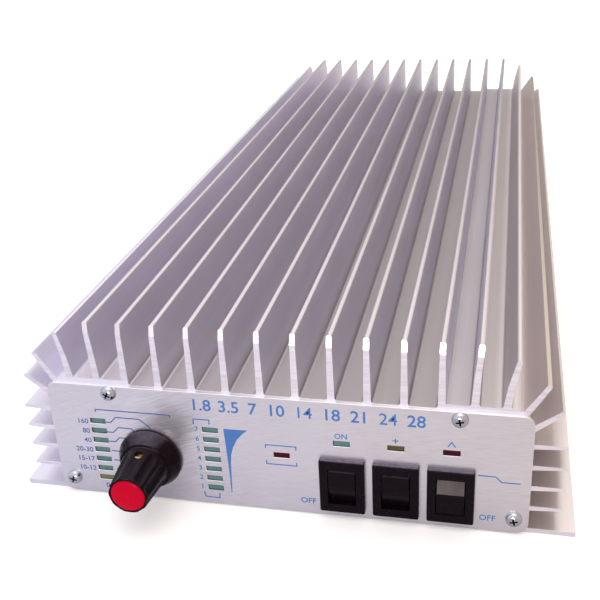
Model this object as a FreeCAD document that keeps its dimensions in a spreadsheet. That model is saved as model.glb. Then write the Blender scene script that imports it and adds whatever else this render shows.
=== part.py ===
"""HF linear amplifier: a finned aluminium body with a front panel, a band selector,
three rocker switches, indicator lamps, and the boards and sockets that it holds.

Frame: millimetres, +X to the right seen from the front, +Y towards the back, +Z up.
The origin is the middle of the flat base. The knob turns about Y, the rockers about X.
"""
import FreeCAD, Part
import math
import os
import re
import Sketcher

SIZES = {
    # extruded body
    "body_length": 435.0,
    "wall_thickness": 4.5,
    "flange_reach": 16.7,
    "flange_thickness": 1.9,
    "floor_rise": 0.1,
    "web_thickness": 5.4,
    "shoulder_inset": 27.5,
    "shoulder_rise": 1.6,
    "corner_radius": 5.5,
    "rib_gap": 1.6,
    "rib_width": 8.0,
    "rib_drop": 1.8,
    "boss_reach": 7.5,
    "boss_height": 8.2,
    # upright fins
    "fin_pitch": 12.0,
    "fin_count": 10,
    "fin_height": 23.4,
    "fin_root_width": 2.5,
    "fin_tip_width": 1.7,
    "fin_fillet": 0.9,
    "fin_sink": 1.2,
    "fin_bevel_back": 0.9,
    "fin_bevel_drop": 3.8,
    # fins beside and over the rounded corner: points of each centre line
    "edge_root_inset": 17.5,
    "edge_middle_lean": 0.5,
    "edge_middle_rise": 11.6,
    "edge_tip_lean": 1.4,
    "lean_root_inset": 7.5,
    "lean_middle_lean": 0.9,
    "lean_middle_rise": 9.6,
    "lean_tip_lean": 2.9,
    "lean_tip_rise": 18.9,
    "fan_root_inset": 2.0,
    "fan_root_drop": 0.4,
    "fan_run": 6.9,
    "fan_rise": 11.0,
    "cheek_root_inset": 0.4,
    "cheek_root_drop": 6.4,
    "cheek_run": 10.2,
    "cheek_rise": 7.8,
    "fan_fin_width": 1.6,
    "fan_foot_flare": 0.6,
    # side fins
    "side_fin_reach": 12.0,
    "side_fin_top_z": 11.0,
    "side_fin_pitch": 8.1,
    "side_fin_count": 4,
    "side_fin_root_width": 2.0,
    "side_fin_tip_width": 1.1,
    # panels and covers
    "panel_width": 166.6,
    "panel_overhang": 1.3,
    "panel_low_z": 0.5,
    "panel_height": 45.8,
    "panel_thickness": 1.5,
    "panel_corner": 4.0,
    "upper_screw_inset": 22.0,
    "upper_screw_drop": 2.7,
    "lower_screw_inset": 3.5,
    "lower_screw_z": 6.3,
    "cover_thickness": 2.0,
    "cover_gap": 0.2,
    "cover_screw_inset": 3.5,
    "cover_screw_pitch": 190.0,
    "cover_screw_count": 3,
    # M3 screws
    "screw_width": 3.0,
    "screw_hole_width": 3.4,
    "screw_head_width": 5.6,
    "screw_head_height": 2.0,
    "screw_dome_radius": 3.9,
    "screw_recess_length": 3.0,
    "screw_recess_width": 0.7,
    "screw_recess_depth": 1.1,
    "screw_length": 10.0,
    "short_screw_length": 6.0,
    "tapped_gap": 0.05,
    "countersink_depth": 1.5,
    # band selector and its knob
    "knob_inset": 34.6,
    "knob_z": 18.1,
    "selector_width": 25.0,
    "selector_depth": 12.5,
    "bushing_width": 9.0,
    "bushing_length": 5.0,
    "bushing_hole_width": 9.4,
    "washer_width": 13.6,
    "washer_thickness": 0.8,
    "nut_flats": 12.0,
    "nut_thickness": 2.0,
    "shaft_width": 6.0,
    "shaft_gap": 0.04,
    "shaft_reach": 18.6,
    "shaft_seat": 7.0,
    "knob_gap": 0.6,
    "skirt_width": 23.0,
    "skirt_rim": 1.0,
    "skirt_front_width": 17.8,
    "skirt_depth": 5.6,
    "knob_depth": 21.8,
    "grip_root_width": 16.8,
    "grip_tip_width": 14.0,
    "knob_wall": 1.7,
    "knob_hollow_depth": 3.7,
    "flute_count": 10,
    "flute_radius": 4.0,
    "flute_depth": 0.55,
    "cap_width": 12.2,
    "cap_recess": 0.8,
    "cap_rise": 0.6,
    "cap_gap": 0.05,
    "cap_plug_width": 8.0,
    "cap_plug_length": 1.6,
    "set_screw_width": 3.0,
    "set_screw_length": 4.2,
    "set_screw_reach": 9.6,
    "set_screw_slot": 0.8,
    # rocker switches
    "switch_inset": 60.7,
    "switch_pitch": 18.2,
    "switch_z": 13.75,
    "bezel_width": 15.6,
    "bezel_height": 21.0,
    "bezel_depth": 2.0,
    "bezel_slope": 0.35,
    "bezel_corner": 0.7,
    "switch_body_width": 13.0,
    "switch_body_height": 19.0,
    "switch_body_depth": 12.0,
    "switch_hole_gap": 0.2,
    "rocker_width": 9.1,
    "rocker_radius": 6.75,
    "rocker_gap": 0.3,
    "rocker_pivot_depth": 1.8,
    "rocker_reach": 1.9,
    "rocker_crown": 1.8,
    "rocker_lean": 10.0,
    "rocker_back": 3.6,
    "rocker_well": 6.0,
    "pin_width": 1.6,
    "pin_length": 1.1,
    "pin_gap": 0.05,
    "terminal_width": 4.8,
    "terminal_thickness": 0.8,
    "terminal_length": 7.0,
    "terminal_pitch": 6.0,
    # indicator lamps
    "lamp_width": 5.3,
    "lamp_height": 1.8,
    "lamp_gap": 0.15,
    "lamp_recess": 0.3,
    "lamp_length": 7.0,
    "lamp_foot": 0.8,
    "lamp_foot_rim": 0.3,
    "lamp_lead_width": 0.5,
    "lamp_lead_pitch": 2.54,
    "band_lamp_reach": 18.3,
    "output_lamp_reach": 23.0,
    "lamp_column_z": 7.4,
    "lamp_pitch": 4.03,
    "warning_lamp_shift": 2.0,
    "warning_lamp_z": 23.7,
    "status_lamp_z": 30.4,
    # boards
    "board_thickness": 1.6,
    "board_stand": 2.5,
    "display_board_gap": 1.0,
    "display_board_low_z": 3.4,
    "display_board_height": 31.6,
    "board_side_gap": 12.5,
    "filter_board_front_y": -192.0,
    "filter_board_length": 150.0,
    "amplifier_board_front_y": -34.0,
    "amplifier_board_length": 160.0,
    "board_screw_gap": 6.0,
    "board_screw_inset": 5.0,
    "spacer_width": 6.0,
    "web_screw_depth": 3.6,
    "ribbon_width": 16.0,
    "ribbon_thickness": 1.0,
    "ribbon_z": 28.6,
    "ribbon_run": 20.0,
    # filter parts, one row per band
    "band_count": 6,
    "band_pitch": 22.0,
    "relay_inset": 17.0,
    "relay_length": 20.0,
    "relay_width": 10.0,
    "relay_height": 11.0,
    "coil_x": 18.0,
    "coil_width": 18.0,
    "coil_bore": 8.0,
    "coil_height": 8.0,
    "chip_width": 8.0,
    "chip_height": 7.0,
    "chip_thickness": 3.0,
    # amplifier parts
    "transistor_y": 40.0,
    "transistor_pitch": 28.0,
    "transistor_count": 4,
    "flange_plate_length": 24.8,
    "flange_plate_width": 6.4,
    "flange_plate_height": 1.6,
    "transistor_body_length": 12.7,
    "transistor_body_height": 4.5,
    "transistor_lead_reach": 9.5,
    "transistor_lead_width": 5.6,
    "transistor_lead_height": 0.3,
    "transistor_screw_pitch": 18.6,
    "transistor_window_gap": 0.8,
    "transformer_y": 74.0,
    "core_width": 18.0,
    "core_bore": 9.2,
    "core_length": 50.0,
    "core_pitch": 20.0,
    "core_plate_thickness": 1.6,
    "core_plate_rim": 2.5,
    "core_drop": 13.0,
    "tube_width": 9.0,
    "tube_bore": 7.6,
    "tube_stub": 1.2,
    "winding_width": 7.0,
    "winding_stub": 1.0,
    "input_core_y": 2.0,
    "input_core_length": 14.0,
    "input_core_width": 14.0,
    "input_core_height": 8.0,
    "input_core_bore": 4.0,
    "input_core_pitch": 6.5,
    "rear_row_y": 104.0,
    "capacitor_width": 12.5,
    "capacitor_height": 20.0,
    "capacitor_pitch": 15.0,
    "capacitor_count": 3,
    "antenna_relay_inset": 19.0,
    "antenna_relay_length": 27.0,
    "antenna_relay_width": 13.0,
    "antenna_relay_height": 15.7,
    "transformer_gap": 1.7,
    "choke_y": 74.0,
    "choke_width": 20.0,
    "choke_bore": 9.0,
    "choke_height": 12.0,
    "fuse_y": 74.0,
    "fuse_pitch": 8.0,
    "fuse_count": 2,
    "fuse_block_length": 24.0,
    "fuse_block_height": 9.0,
    "fuse_block_rim": 2.0,
    "fuse_width": 19.0,
    "fuse_thickness": 5.0,
    "fuse_height": 12.0,
    "fuse_slot_depth": 6.0,
    "fuse_gap": 0.1,
    # back panel fittings
    "socket_inset": 32.0,
    "socket_z": 22.0,
    "socket_flange": 25.4,
    "socket_flange_thickness": 3.2,
    "socket_thread": 15.9,
    "socket_bore": 11.4,
    "socket_reach": 16.0,
    "socket_neck": 12.0,
    "socket_neck_gap": 0.2,
    "socket_neck_length": 5.0,
    "socket_screw_pitch": 18.2,
    "contact_width": 6.0,
    "contact_bore": 4.0,
    "contact_reach": 12.0,
    "contact_tail": 7.0,
    "insulator_reach": 9.0,
    "jack_spacing": 26.0,
    "jack_width": 8.0,
    "jack_length": 11.0,
    "jack_reach": 9.5,
    "jack_bore": 3.4,
    "jack_hex": 11.0,
    "jack_nut_thickness": 2.0,
    "grommet_x": -18.0,
    "grommet_width": 16.0,
    "grommet_waist": 12.0,
    "grommet_bore": 8.0,
    "grommet_lip": 2.4,
    "coax_width": 5.0,
    "coax_bend": 9.0,
    "coax_slack": 18.0,
    "coax_sag": 3.0,
    "coax_land_inset": 13.0,
}

# places worked out from the sizes above
PLACES = {
    "wall_x": "panel_width / 2 - panel_overhang",
    "flange_x": "wall_x + flange_reach",
    "side_fin_x": "wall_x + side_fin_reach",
    "shoulder_x": "wall_x - shoulder_inset",
    "rib_x": "transistor_row / 2 + flange_plate_length / 2 + rib_gap + rib_width / 2",
    "floor_z": "panel_top_z + floor_rise",
    "fin_top_z": "floor_z + fin_height",
    "edge_root_x": "wall_x - edge_root_inset",
    "edge_middle_x": "edge_root_x + edge_middle_lean",
    "edge_middle_z": "floor_z + edge_middle_rise",
    "edge_tip_x": "edge_root_x + edge_tip_lean",
    "lean_root_x": "wall_x - lean_root_inset",
    "lean_middle_x": "lean_root_x + lean_middle_lean",
    "lean_middle_z": "floor_z + lean_middle_rise",
    "lean_tip_x": "lean_root_x + lean_tip_lean",
    "lean_tip_z": "floor_z + lean_tip_rise",
    "fan_root_x": "wall_x - fan_root_inset",
    "fan_root_z": "floor_z - fan_root_drop",
    "fan_tip_x": "fan_root_x + fan_run",
    "fan_tip_z": "fan_root_z + fan_rise",
    "cheek_root_x": "wall_x - cheek_root_inset",
    "cheek_root_z": "floor_z - cheek_root_drop",
    "cheek_tip_x": "cheek_root_x + cheek_run",
    "cheek_tip_z": "cheek_root_z + cheek_rise",
    "upper_screw_x": "wall_x - upper_screw_inset",
    "upper_screw_z": "panel_top_z - upper_screw_drop",
    "lower_screw_x": "wall_x - lower_screw_inset",
    "cover_screw_x": "wall_inner_x - cover_screw_inset",
    "knob_x": "knob_inset - wall_x",
    "band_lamp_x": "knob_x - band_lamp_reach",
    "output_lamp_x": "knob_x + output_lamp_reach",
    "switch_x": "wall_x - switch_inset",
    "warning_lamp_x": "(output_lamp_x + switch_x) / 2 + warning_lamp_shift",
    "display_board_width": "2 * (boss_inner_x - display_board_gap)",
    "board_width": "2 * (wall_inner_x - board_side_gap)",
    "board_screw_x": "rib_x - rib_width / 2 - board_screw_gap",
    "relay_x": "board_width / 2 - relay_inset",
    "antenna_relay_x": "board_width / 2 - antenna_relay_inset",
    "transistor_row": "transistor_pitch * (transistor_count - 1)",
    "winding_end_x": "core_length / 2 + core_plate_thickness + tube_stub + winding_stub",
    "winding_reach": "winding_end_x + core_pitch / 2 + winding_width / 2",
    "choke_x": "-(winding_reach + transformer_gap + choke_width / 2)",
    "fuse_block_width": "fuse_pitch * fuse_count + 2 * fuse_block_rim",
    "fuse_x": "winding_reach + transformer_gap + fuse_block_width / 2",
    "socket_x": "wall_x - socket_inset",
    "jack_x": "socket_x - jack_spacing",
    "body_front": "-body_length / 2",
    "body_back": "body_length / 2",
    "wall_inner_x": "wall_x - wall_thickness",
    "shoulder_z": "floor_z + shoulder_rise",
    "ceiling_z": "floor_z - web_thickness",
    "boss_low_z": "cover_thickness + cover_gap / 2",
    "boss_inner_x": "wall_inner_x - boss_reach",
    "panel_face": "body_front - panel_thickness",
    "panel_top_z": "panel_low_z + panel_height",
    "back_face": "body_back + panel_thickness",
    "board_top_z": "ceiling_z - board_stand",
    "board_low_z": "board_top_z - board_thickness",
    "display_face": "body_front + selector_depth",
    "display_back": "display_face + board_thickness",
    "bezel_face": "panel_face - bezel_depth",
    "pivot_y": "bezel_face + rocker_pivot_depth",
    "hollow_height": "2 * (rocker_radius + rocker_gap)",
    "hollow_width": "rocker_width + 2 * rocker_gap",
    "knob_back": "panel_face - knob_gap",
    "knob_front": "knob_back - knob_depth",
    "skirt_front": "knob_back - skirt_depth",
    "row_first_y": "filter_board_front_y + filter_board_length / 2 - band_pitch * (band_count - 1) / 2",
    "panel_screw_depth": "screw_length - panel_thickness + 0.5",
}

document = FreeCAD.newDocument("linear_amplifier")
sheet = document.addObject("Spreadsheet::Sheet", "Sizes")
for row, (alias, size) in enumerate(SIZES.items(), 1):
    sheet.set(f"A{row}", alias)
    sheet.set(f"B{row}", str(size))
    sheet.setAlias(f"B{row}", alias)
document.recompute()

WORD = re.compile(r"[a-z_]+")
nodes = []


def formula(text):
    """Write a place or size, given in plain words, as a FreeCAD expression."""

    def term(match):
        word = match.group()
        if word in PLACES:
            return f"({formula(PLACES[word])})"
        return f"Sizes.{word}" if word in SIZES else word

    return WORD.sub(term, str(text))


def number(text):
    """The value of a formula, in millimetres."""
    return float(sheet.evalExpression(formula(text)))


def bind(item, **properties):
    """Tie properties of an object to formulas; a double underscore stands for a dot."""
    for name, text in properties.items():
        item.setExpression(name.replace("__", "."), formula(text))
    return item


def place(item, at, axis="z"):
    """Put an object at three formulas, with its own Z along the given axis."""
    turns = {"z": (0, 0, 1, 0), "y": (1, 0, 0, -90), "-y": (1, 0, 0, 90), "x": (0, 1, 0, 90),
             "-z": (1, 0, 0, 180)}
    x, y, z, angle = turns[axis]
    item.Placement = FreeCAD.Placement(
        FreeCAD.Vector(0, 0, 0), FreeCAD.Rotation(FreeCAD.Vector(x, y, z), angle)
    )
    return bind(item, Placement__Base__x=at[0], Placement__Base__y=at[1], Placement__Base__z=at[2])


def block(size, at):
    """A box from its low corner."""
    item = document.addObject("Part::Box", "block")
    bind(item, Length=size[0], Width=size[1], Height=size[2])
    return place(item, at)


def middle_block(size, at):
    """A box centred in X and Y on its place, rising from it."""
    corner = (f"{at[0]} - ({size[0]}) / 2", f"{at[1]} - ({size[1]}) / 2", at[2])
    return block(size, corner)


def rod(width, length, at, axis="z"):
    """A cylinder given by its diameter."""
    item = document.addObject("Part::Cylinder", "rod")
    bind(item, Radius=f"({width}) / 2", Height=length)
    return place(item, at, axis)


def cone(width, far_width, length, at, axis="z"):
    """A cone given by its two diameters."""
    item = document.addObject("Part::Cone", "cone")
    bind(item, Radius1=f"({width}) / 2", Radius2=f"({far_width}) / 2", Height=length)
    return place(item, at, axis)


def hexagon(flats, length, at, axis="z"):
    """A hexagonal bar given by its width across flats."""
    item = document.addObject("Part::Prism", "hexagon")
    item.Polygon = 6
    bind(item, Circumradius=f"({flats}) / sqrt(3)", Height=length)
    return place(item, at, axis)


def join(*items):
    """One solid from several."""
    item = document.addObject("Part::MultiFuse", "joined")
    item.Shapes = list(items)
    return item


def cut(base, *tools):
    """The base with the tools taken away."""
    item = document.addObject("Part::Cut", "cut")
    item.Base = base
    item.Tool = tools[0] if len(tools) == 1 else join(*tools)
    return item


def group(items):
    """Several separate solids that share one node."""
    item = document.addObject("Part::Compound", "group")
    item.Links = list(items)
    return item


def node(label, item):
    """Name a finished sub-part, which is written to its own file."""
    item.Label = label
    nodes.append(item)
    return item


# ---- sketches and features ---------------------------------------------------------------


def new_body(label):
    body = document.addObject("PartDesign::Body", label)
    body.Label = label
    return body


def sketch_on(body, name, role, height="0"):
    """An empty sketch on one of the body's own planes, moved along its normal."""
    sketch = body.newObject("Sketcher::SketchObject", name)
    plane = next(item for item in body.Origin.OriginFeatures if item.Role == role)
    sketch.AttachmentSupport = [(plane, "")]
    sketch.MapMode = "FlatFace"
    sketch.setExpression("AttachmentOffset.Base.z", formula(height))
    return sketch


def hold(sketch, kind, text, *where):
    """Add one dimension to a sketch and tie it to a formula."""
    index = sketch.addConstraint(Sketcher.Constraint(kind, *where, number(text)))
    sketch.setExpression(f"Constraints[{index}]", formula(text))


def arc_between(start, end, radius):
    """A round corner; a negative radius curves the other way."""
    chord = end - start
    middle = (start + end) / 2
    side = FreeCAD.Vector(-chord.y, chord.x, 0).normalize()
    drop = (radius * radius - chord.Length * chord.Length / 4) ** 0.5
    centre = middle + side * (drop if radius > 0 else -drop)
    crown = centre + (middle - centre).normalize() * abs(radius)
    return Part.Arc(start, crown, end)


def outline(sketch, points, rounds=None):
    """A closed outline; rounds gives the radius of the side that leaves a point."""
    rounds = rounds or {}
    first = sketch.GeometryCount
    corners = [FreeCAD.Vector(number(across), number(up), 0) for across, up in points]
    count = len(points)
    ends = []
    for index, corner in enumerate(corners):
        after = corners[(index + 1) % count]
        if index in rounds:
            radius = number(rounds[index])
            curve = arc_between(corner, after, radius)
            made = sketch.addGeometry(curve)
            begin = sketch.getPoint(made, 1)
            ends.append((1, 2) if begin.distanceToPoint(corner) < 1e-6 else (2, 1))
        else:
            sketch.addGeometry(Part.LineSegment(corner, after))
            ends.append((1, 2))
    for index in range(count):
        after = (index + 1) % count
        sketch.addConstraint(
            Sketcher.Constraint("Coincident", first + index, ends[index][1], first + after, ends[after][0])
        )
    for index, (across, up) in enumerate(points):
        hold(sketch, "DistanceX", across, -1, 1, first + index, ends[index][0])
        hold(sketch, "DistanceY", up, -1, 1, first + index, ends[index][0])
    for index, radius in rounds.items():
        text = radius if number(radius) > 0 else f"-({radius})"
        hold(sketch, "Radius", text, first + index)


def oblong(sketch, centre, width, height):
    """A rectangle about its centre."""
    x, y = centre
    left, right = f"{x} - ({width}) / 2", f"{x} + ({width}) / 2"
    low, high = f"{y} - ({height}) / 2", f"{y} + ({height}) / 2"
    outline(sketch, [(left, low), (right, low), (right, high), (left, high)])


def ring(sketch, centre, width):
    """A circle given by its centre and diameter."""
    middle = FreeCAD.Vector(number(centre[0]), number(centre[1]), 0)
    index = sketch.addGeometry(Part.Circle(middle, FreeCAD.Vector(0, 0, 1), number(width) / 2))
    hold(sketch, "DistanceX", centre[0], -1, 1, index, 3)
    hold(sketch, "DistanceY", centre[1], -1, 1, index, 3)
    hold(sketch, "Radius", f"({width}) / 2", index)


def pad(body, sketch, length):
    """Raise a sketch along its normal."""
    feature = body.newObject("PartDesign::Pad", sketch.Name + "_pad")
    feature.Profile = sketch
    bind(feature, Length=length)
    body.Tip = feature
    return feature


def pocket(body, sketch, depth, along_normal=False):
    """Cut a sketch into the body, and make sure that it cut."""
    document.recompute()
    before = body.Shape.Volume
    feature = body.newObject("PartDesign::Pocket", sketch.Name + "_pocket")
    feature.Profile = sketch
    feature.Reversed = along_normal
    bind(feature, Length=depth)
    body.Tip = feature
    document.recompute()
    if body.Shape.Volume >= before:
        raise RuntimeError(f"{feature.Name} cuts nothing")
    return feature


def edges_where(feature, test):
    """The names of a feature's edges whose end points pass a test."""
    edges = enumerate(feature.Shape.Edges, 1)
    return [f"Edge{order}" for order, edge in edges if test(edge.Vertexes)]


def row_of(body, feature, axis, spacing, count):
    """Repeat a feature along one of the body's own axes."""
    pattern = body.newObject("PartDesign::LinearPattern", feature.Name + "_row")
    direction = next(item for item in body.Origin.OriginFeatures if item.Role == axis)
    pattern.Originals = [feature]
    pattern.Direction = (direction, [""])
    pattern.Mode = "Spacing"
    bind(pattern, Offset=spacing, Occurrences=count)
    body.Tip = pattern
    return pattern


# ---- the extruded body --------------------------------------------------------------------


def both_sides(points):
    """A right-hand outline and its mirror image, as one closed outline."""
    mirrored = [(f"-({across})", up) for across, up in reversed(points)]
    return list(points) + mirrored


def mirror_image(points, rounds):
    """The same outline on the other side, still traced the same way round."""
    mirrored = [(f"-({across})", up) for across, up in reversed(points)]
    last = len(points) - 2
    return mirrored, {last - side: radius for side, radius in rounds.items()}


def footed_fin(line, tip_width):
    """A near-upright fin about a centre line of root, middle and tip, with a filleted foot."""
    root, middle, tip = line
    half, tip_half = "fin_root_width / 2", f"{tip_width} / 2"
    middle_half = f"(fin_root_width + {tip_width}) / 4"
    right = [
        (f"{root[0]} + {half} + fin_fillet", f"{root[1]} - fin_sink"),
        (f"{root[0]} + {half} + fin_fillet", root[1]),
        (f"{root[0]} + {half}", f"{root[1]} + fin_fillet"),
        (f"{middle[0]} + {middle_half}", middle[1]),
        (f"{tip[0]} + {tip_half}", tip[1]),
        (f"{tip[0]} - {tip_half}", tip[1]),
        (f"{middle[0]} - {middle_half}", middle[1]),
        (f"{root[0]} - {half}", f"{root[1]} + fin_fillet"),
        (f"{root[0]} - {half} - fin_fillet", root[1]),
        (f"{root[0]} - {half} - fin_fillet", f"{root[1]} - fin_sink"),
    ]
    return right, {1: "-fin_fillet", 7: "-fin_fillet"}


def slanted_fin(root, tip):
    """A tapered fin square to the line from root to tip, with its foot sunk in the body."""
    run = f"({tip[0]} - {root[0]})"
    rise = f"({tip[1]} - {root[1]})"
    reach = f"sqrt({run} * {run} + {rise} * {rise})"
    foot = (f"{root[0]} - fin_sink * {run} / {reach}", f"{root[1]} - fin_sink * {rise} / {reach}")
    foot_half, tip_half = "(fan_fin_width + fan_foot_flare) / 2", "fan_fin_width / 2"
    corners = []
    for end, half in ((foot, f"-{foot_half}"), (tip, f"-{tip_half}"), (tip, tip_half), (foot, foot_half)):
        corners.append((f"{end[0]} + {half} * {rise} / {reach}", f"{end[1]} - {half} * {run} / {reach}"))
    return corners, {}


def make_heatsink():
    body = new_body("heatsink")
    core = sketch_on(body, "core_section", "XZ_Plane", "-(body_back)")
    right = [
        ("shoulder_x", "floor_z"),
        ("shoulder_x + shoulder_rise", "shoulder_z"),
        ("wall_x - corner_radius", "shoulder_z"),
        ("wall_x", "shoulder_z - corner_radius"),
        ("wall_x", "flange_thickness"),
        ("flange_x", "flange_thickness"),
        ("flange_x", "0"),
        ("wall_inner_x", "0"),
        ("wall_inner_x", "boss_low_z"),
        ("boss_inner_x", "boss_low_z"),
        ("boss_inner_x", "boss_low_z + boss_height"),
        ("wall_inner_x", "boss_low_z + boss_height"),
        ("wall_inner_x", "ceiling_z"),
        ("rib_x + rib_width / 2", "ceiling_z"),
        ("rib_x + rib_width / 2", "ceiling_z - rib_drop"),
        ("rib_x - rib_width / 2", "ceiling_z - rib_drop"),
        ("rib_x - rib_width / 2", "ceiling_z"),
    ]
    rounded_side = 2
    mirrored_side = 2 * len(right) - 2 - rounded_side
    outline(core, both_sides(right), {rounded_side: "-corner_radius", mirrored_side: "-corner_radius"})
    pad(body, core, "body_length")

    first_x = "fin_pitch * (1 - fin_count) / 2"
    half_way = "floor_z + fin_height / 2"
    centre_line = [(first_x, "floor_z"), (first_x, half_way), (first_x, "fin_top_z")]
    upright = sketch_on(body, "upright_fin", "XZ_Plane", "-(body_back)")
    outline(upright, *footed_fin(centre_line, "fin_tip_width"))
    upright_pad = pad(body, upright, "body_length")
    row_of(body, upright_pad, "X_Axis", "fin_pitch", "fin_count")

    edge_line = [
        ("edge_root_x", "shoulder_z"),
        ("edge_middle_x", "edge_middle_z"),
        ("edge_tip_x", "fin_top_z"),
    ]
    lean_line = [
        ("lean_root_x", "shoulder_z"),
        ("lean_middle_x", "lean_middle_z"),
        ("lean_tip_x", "lean_tip_z"),
    ]
    fan_line = [("fan_root_x", "fan_root_z"), ("fan_tip_x", "fan_tip_z")]
    cheek_line = [("cheek_root_x", "cheek_root_z"), ("cheek_tip_x", "cheek_tip_z")]
    for name, section in (
        ("edge_fins", footed_fin(edge_line, "fin_tip_width")),
        ("lean_fins", footed_fin(lean_line, "fan_fin_width")),
        ("fan_fins", slanted_fin(*fan_line)),
        ("cheek_fins", slanted_fin(*cheek_line)),
    ):
        fins = sketch_on(body, name, "XZ_Plane", "-(body_back)")
        outline(fins, *section)
        outline(fins, *mirror_image(*section))
        pad(body, fins, "body_length")

    side_fins = sketch_on(body, "side_fins", "XZ_Plane", "-(body_back)")
    for sign in ("", "-"):
        inner, outer = f"{sign}(wall_x - fin_sink)", f"{sign}side_fin_x"
        root, tip = "side_fin_top_z - side_fin_root_width", "side_fin_top_z - side_fin_tip_width"
        top = "side_fin_top_z"
        outline(side_fins, [(inner, root), (outer, tip), (outer, top), (inner, top)])
    side_pad = pad(body, side_fins, "body_length")
    row_of(body, side_pad, "Z_Axis", "side_fin_pitch", "side_fin_count")

    bevel = sketch_on(body, "fin_front_bevel", "YZ_Plane", "-flange_x")
    outline(
        bevel,
        [
            ("body_front - 1", "fin_top_z - fin_bevel_drop"),
            ("body_front", "fin_top_z - fin_bevel_drop"),
            ("body_front + fin_bevel_back", "fin_top_z + 1"),
            ("body_front - 1", "fin_top_z + 1"),
        ],
    )
    pocket(body, bevel, "2 * flange_x", along_normal=True)

    for name, height, forwards in (("front", "-(body_front)", False), ("back", "-(body_back)", True)):
        holes = sketch_on(body, f"{name}_screw_holes", "XZ_Plane", height)
        for centre in panel_screw_places():
            ring(holes, centre, "screw_width + 2 * tapped_gap")
        pocket(body, holes, "panel_screw_depth", along_normal=forwards)

    cover_holes = sketch_on(body, "cover_screw_holes", "XY_Plane", "0")
    for centre in cover_screw_places():
        ring(cover_holes, centre, "screw_width + 2 * tapped_gap")
    pocket(body, cover_holes, "short_screw_length + 0.5", along_normal=True)

    web_holes = sketch_on(body, "web_screw_holes", "XY_Plane", "ceiling_z")
    for centre in board_screw_places() + transistor_screw_places():
        ring(web_holes, centre, "screw_width + 2 * tapped_gap")
    pocket(body, web_holes, "web_screw_depth + 0.5", along_normal=True)
    node("heatsink", body)


def panel_screw_places():
    """The four screws of a panel, as X and Z."""
    upper = [(f"{sign}upper_screw_x", "upper_screw_z") for sign in ("-", "")]
    lower = [(f"{sign}lower_screw_x", "lower_screw_z") for sign in ("-", "")]
    return upper + lower


def cover_screw_places():
    """The bottom cover's screws, as X and Y."""
    places = []
    for sign in ("-", ""):
        for index in range(int(number("cover_screw_count"))):
            along = f"cover_screw_pitch * ({index} - (cover_screw_count - 1) / 2)"
            places.append((f"{sign}cover_screw_x", along))
    return places


def board_screw_places():
    """The screws that hold both boards under the web, as X and Y."""
    places = []
    for board in ("filter_board", "amplifier_board"):
        front = f"{board}_front_y + board_screw_inset"
        back = f"{board}_front_y + {board}_length - board_screw_inset"
        for along in (front, back):
            places += [("-board_screw_x", along), ("board_screw_x", along)]
    return places


def transistor_x(index):
    return f"transistor_pitch * ({index} - (transistor_count - 1) / 2)"


def transistor_screw_places():
    """Two screws through each transistor's flange, as X and Y."""
    places = []
    for index in range(int(number("transistor_count"))):
        for sign in ("-", "+"):
            places.append((f"{transistor_x(index)} {sign} transistor_screw_pitch / 2", "transistor_y"))
    return places


# ---- panels, cover and screws --------------------------------------------------------------


def panel_blank(label, back_y):
    """A plate with rounded corners whose back lies at back_y."""
    body = new_body(label)
    sketch = sketch_on(body, f"{label}_outline", "XZ_Plane", f"-({back_y})")
    right = [
        ("panel_width / 2 - panel_corner", "panel_top_z"),
        ("panel_width / 2", "panel_top_z - panel_corner"),
        ("panel_width / 2", "panel_low_z + panel_corner"),
        ("panel_width / 2 - panel_corner", "panel_low_z"),
    ]
    rounds = {side: "-panel_corner" for side in (0, 2, 4, 6)}
    outline(sketch, both_sides(right), rounds)
    pad(body, sketch, "panel_thickness")
    return body


def switch_x(index):
    return f"switch_x + {index} * switch_pitch"


def lamp_places():
    """Every lamp by the node that holds it, as X and Z."""
    column = [f"lamp_column_z + {index} * lamp_pitch" for index in range(7)]
    return {
        "auto_led": [("band_lamp_x", column[0])],
        "band_leds": [("band_lamp_x", height) for height in column[1:]],
        "output_leds": [("output_lamp_x", height) for height in column],
        "warning_led": [("warning_lamp_x", "warning_lamp_z")],
        "power_on_led": [(switch_x(0), "status_lamp_z")],
        "high_power_led": [(switch_x(1), "status_lamp_z")],
        "transmit_led": [(switch_x(2), "status_lamp_z")],
    }


def make_front_panel():
    body = panel_blank("front_panel", "body_front")
    through = "panel_thickness + 0.5"
    screws = sketch_on(body, "front_screw_clearance", "XZ_Plane", "-(panel_face)")
    for centre in panel_screw_places():
        ring(screws, centre, "screw_hole_width")
    ring(screws, ("knob_x", "knob_z"), "bushing_hole_width")
    pocket(body, screws, through)
    windows = sketch_on(body, "switch_windows", "XZ_Plane", "-(panel_face)")
    for index in range(3):
        width = "switch_body_width + 2 * switch_hole_gap"
        oblong(windows, (switch_x(index), "switch_z"), width, "switch_body_height + 2 * switch_hole_gap")
    pocket(body, windows, through)
    slots = sketch_on(body, "lamp_windows", "XZ_Plane", "-(panel_face)")
    for centres in lamp_places().values():
        for centre in centres:
            oblong(slots, centre, "lamp_width + 2 * lamp_gap", "lamp_height + 2 * lamp_gap")
    pocket(body, slots, through)
    node("front_panel", body)


def socket_centres():
    return [("-socket_x", "socket_z"), ("socket_x", "socket_z")]


def socket_screw_places():
    places = []
    for across, up in socket_centres():
        for right in ("-", "+"):
            for above in ("-", "+"):
                half = "socket_screw_pitch / 2"
                places.append((f"{across} {right} {half}", f"{up} {above} {half}"))
    return places


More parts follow.
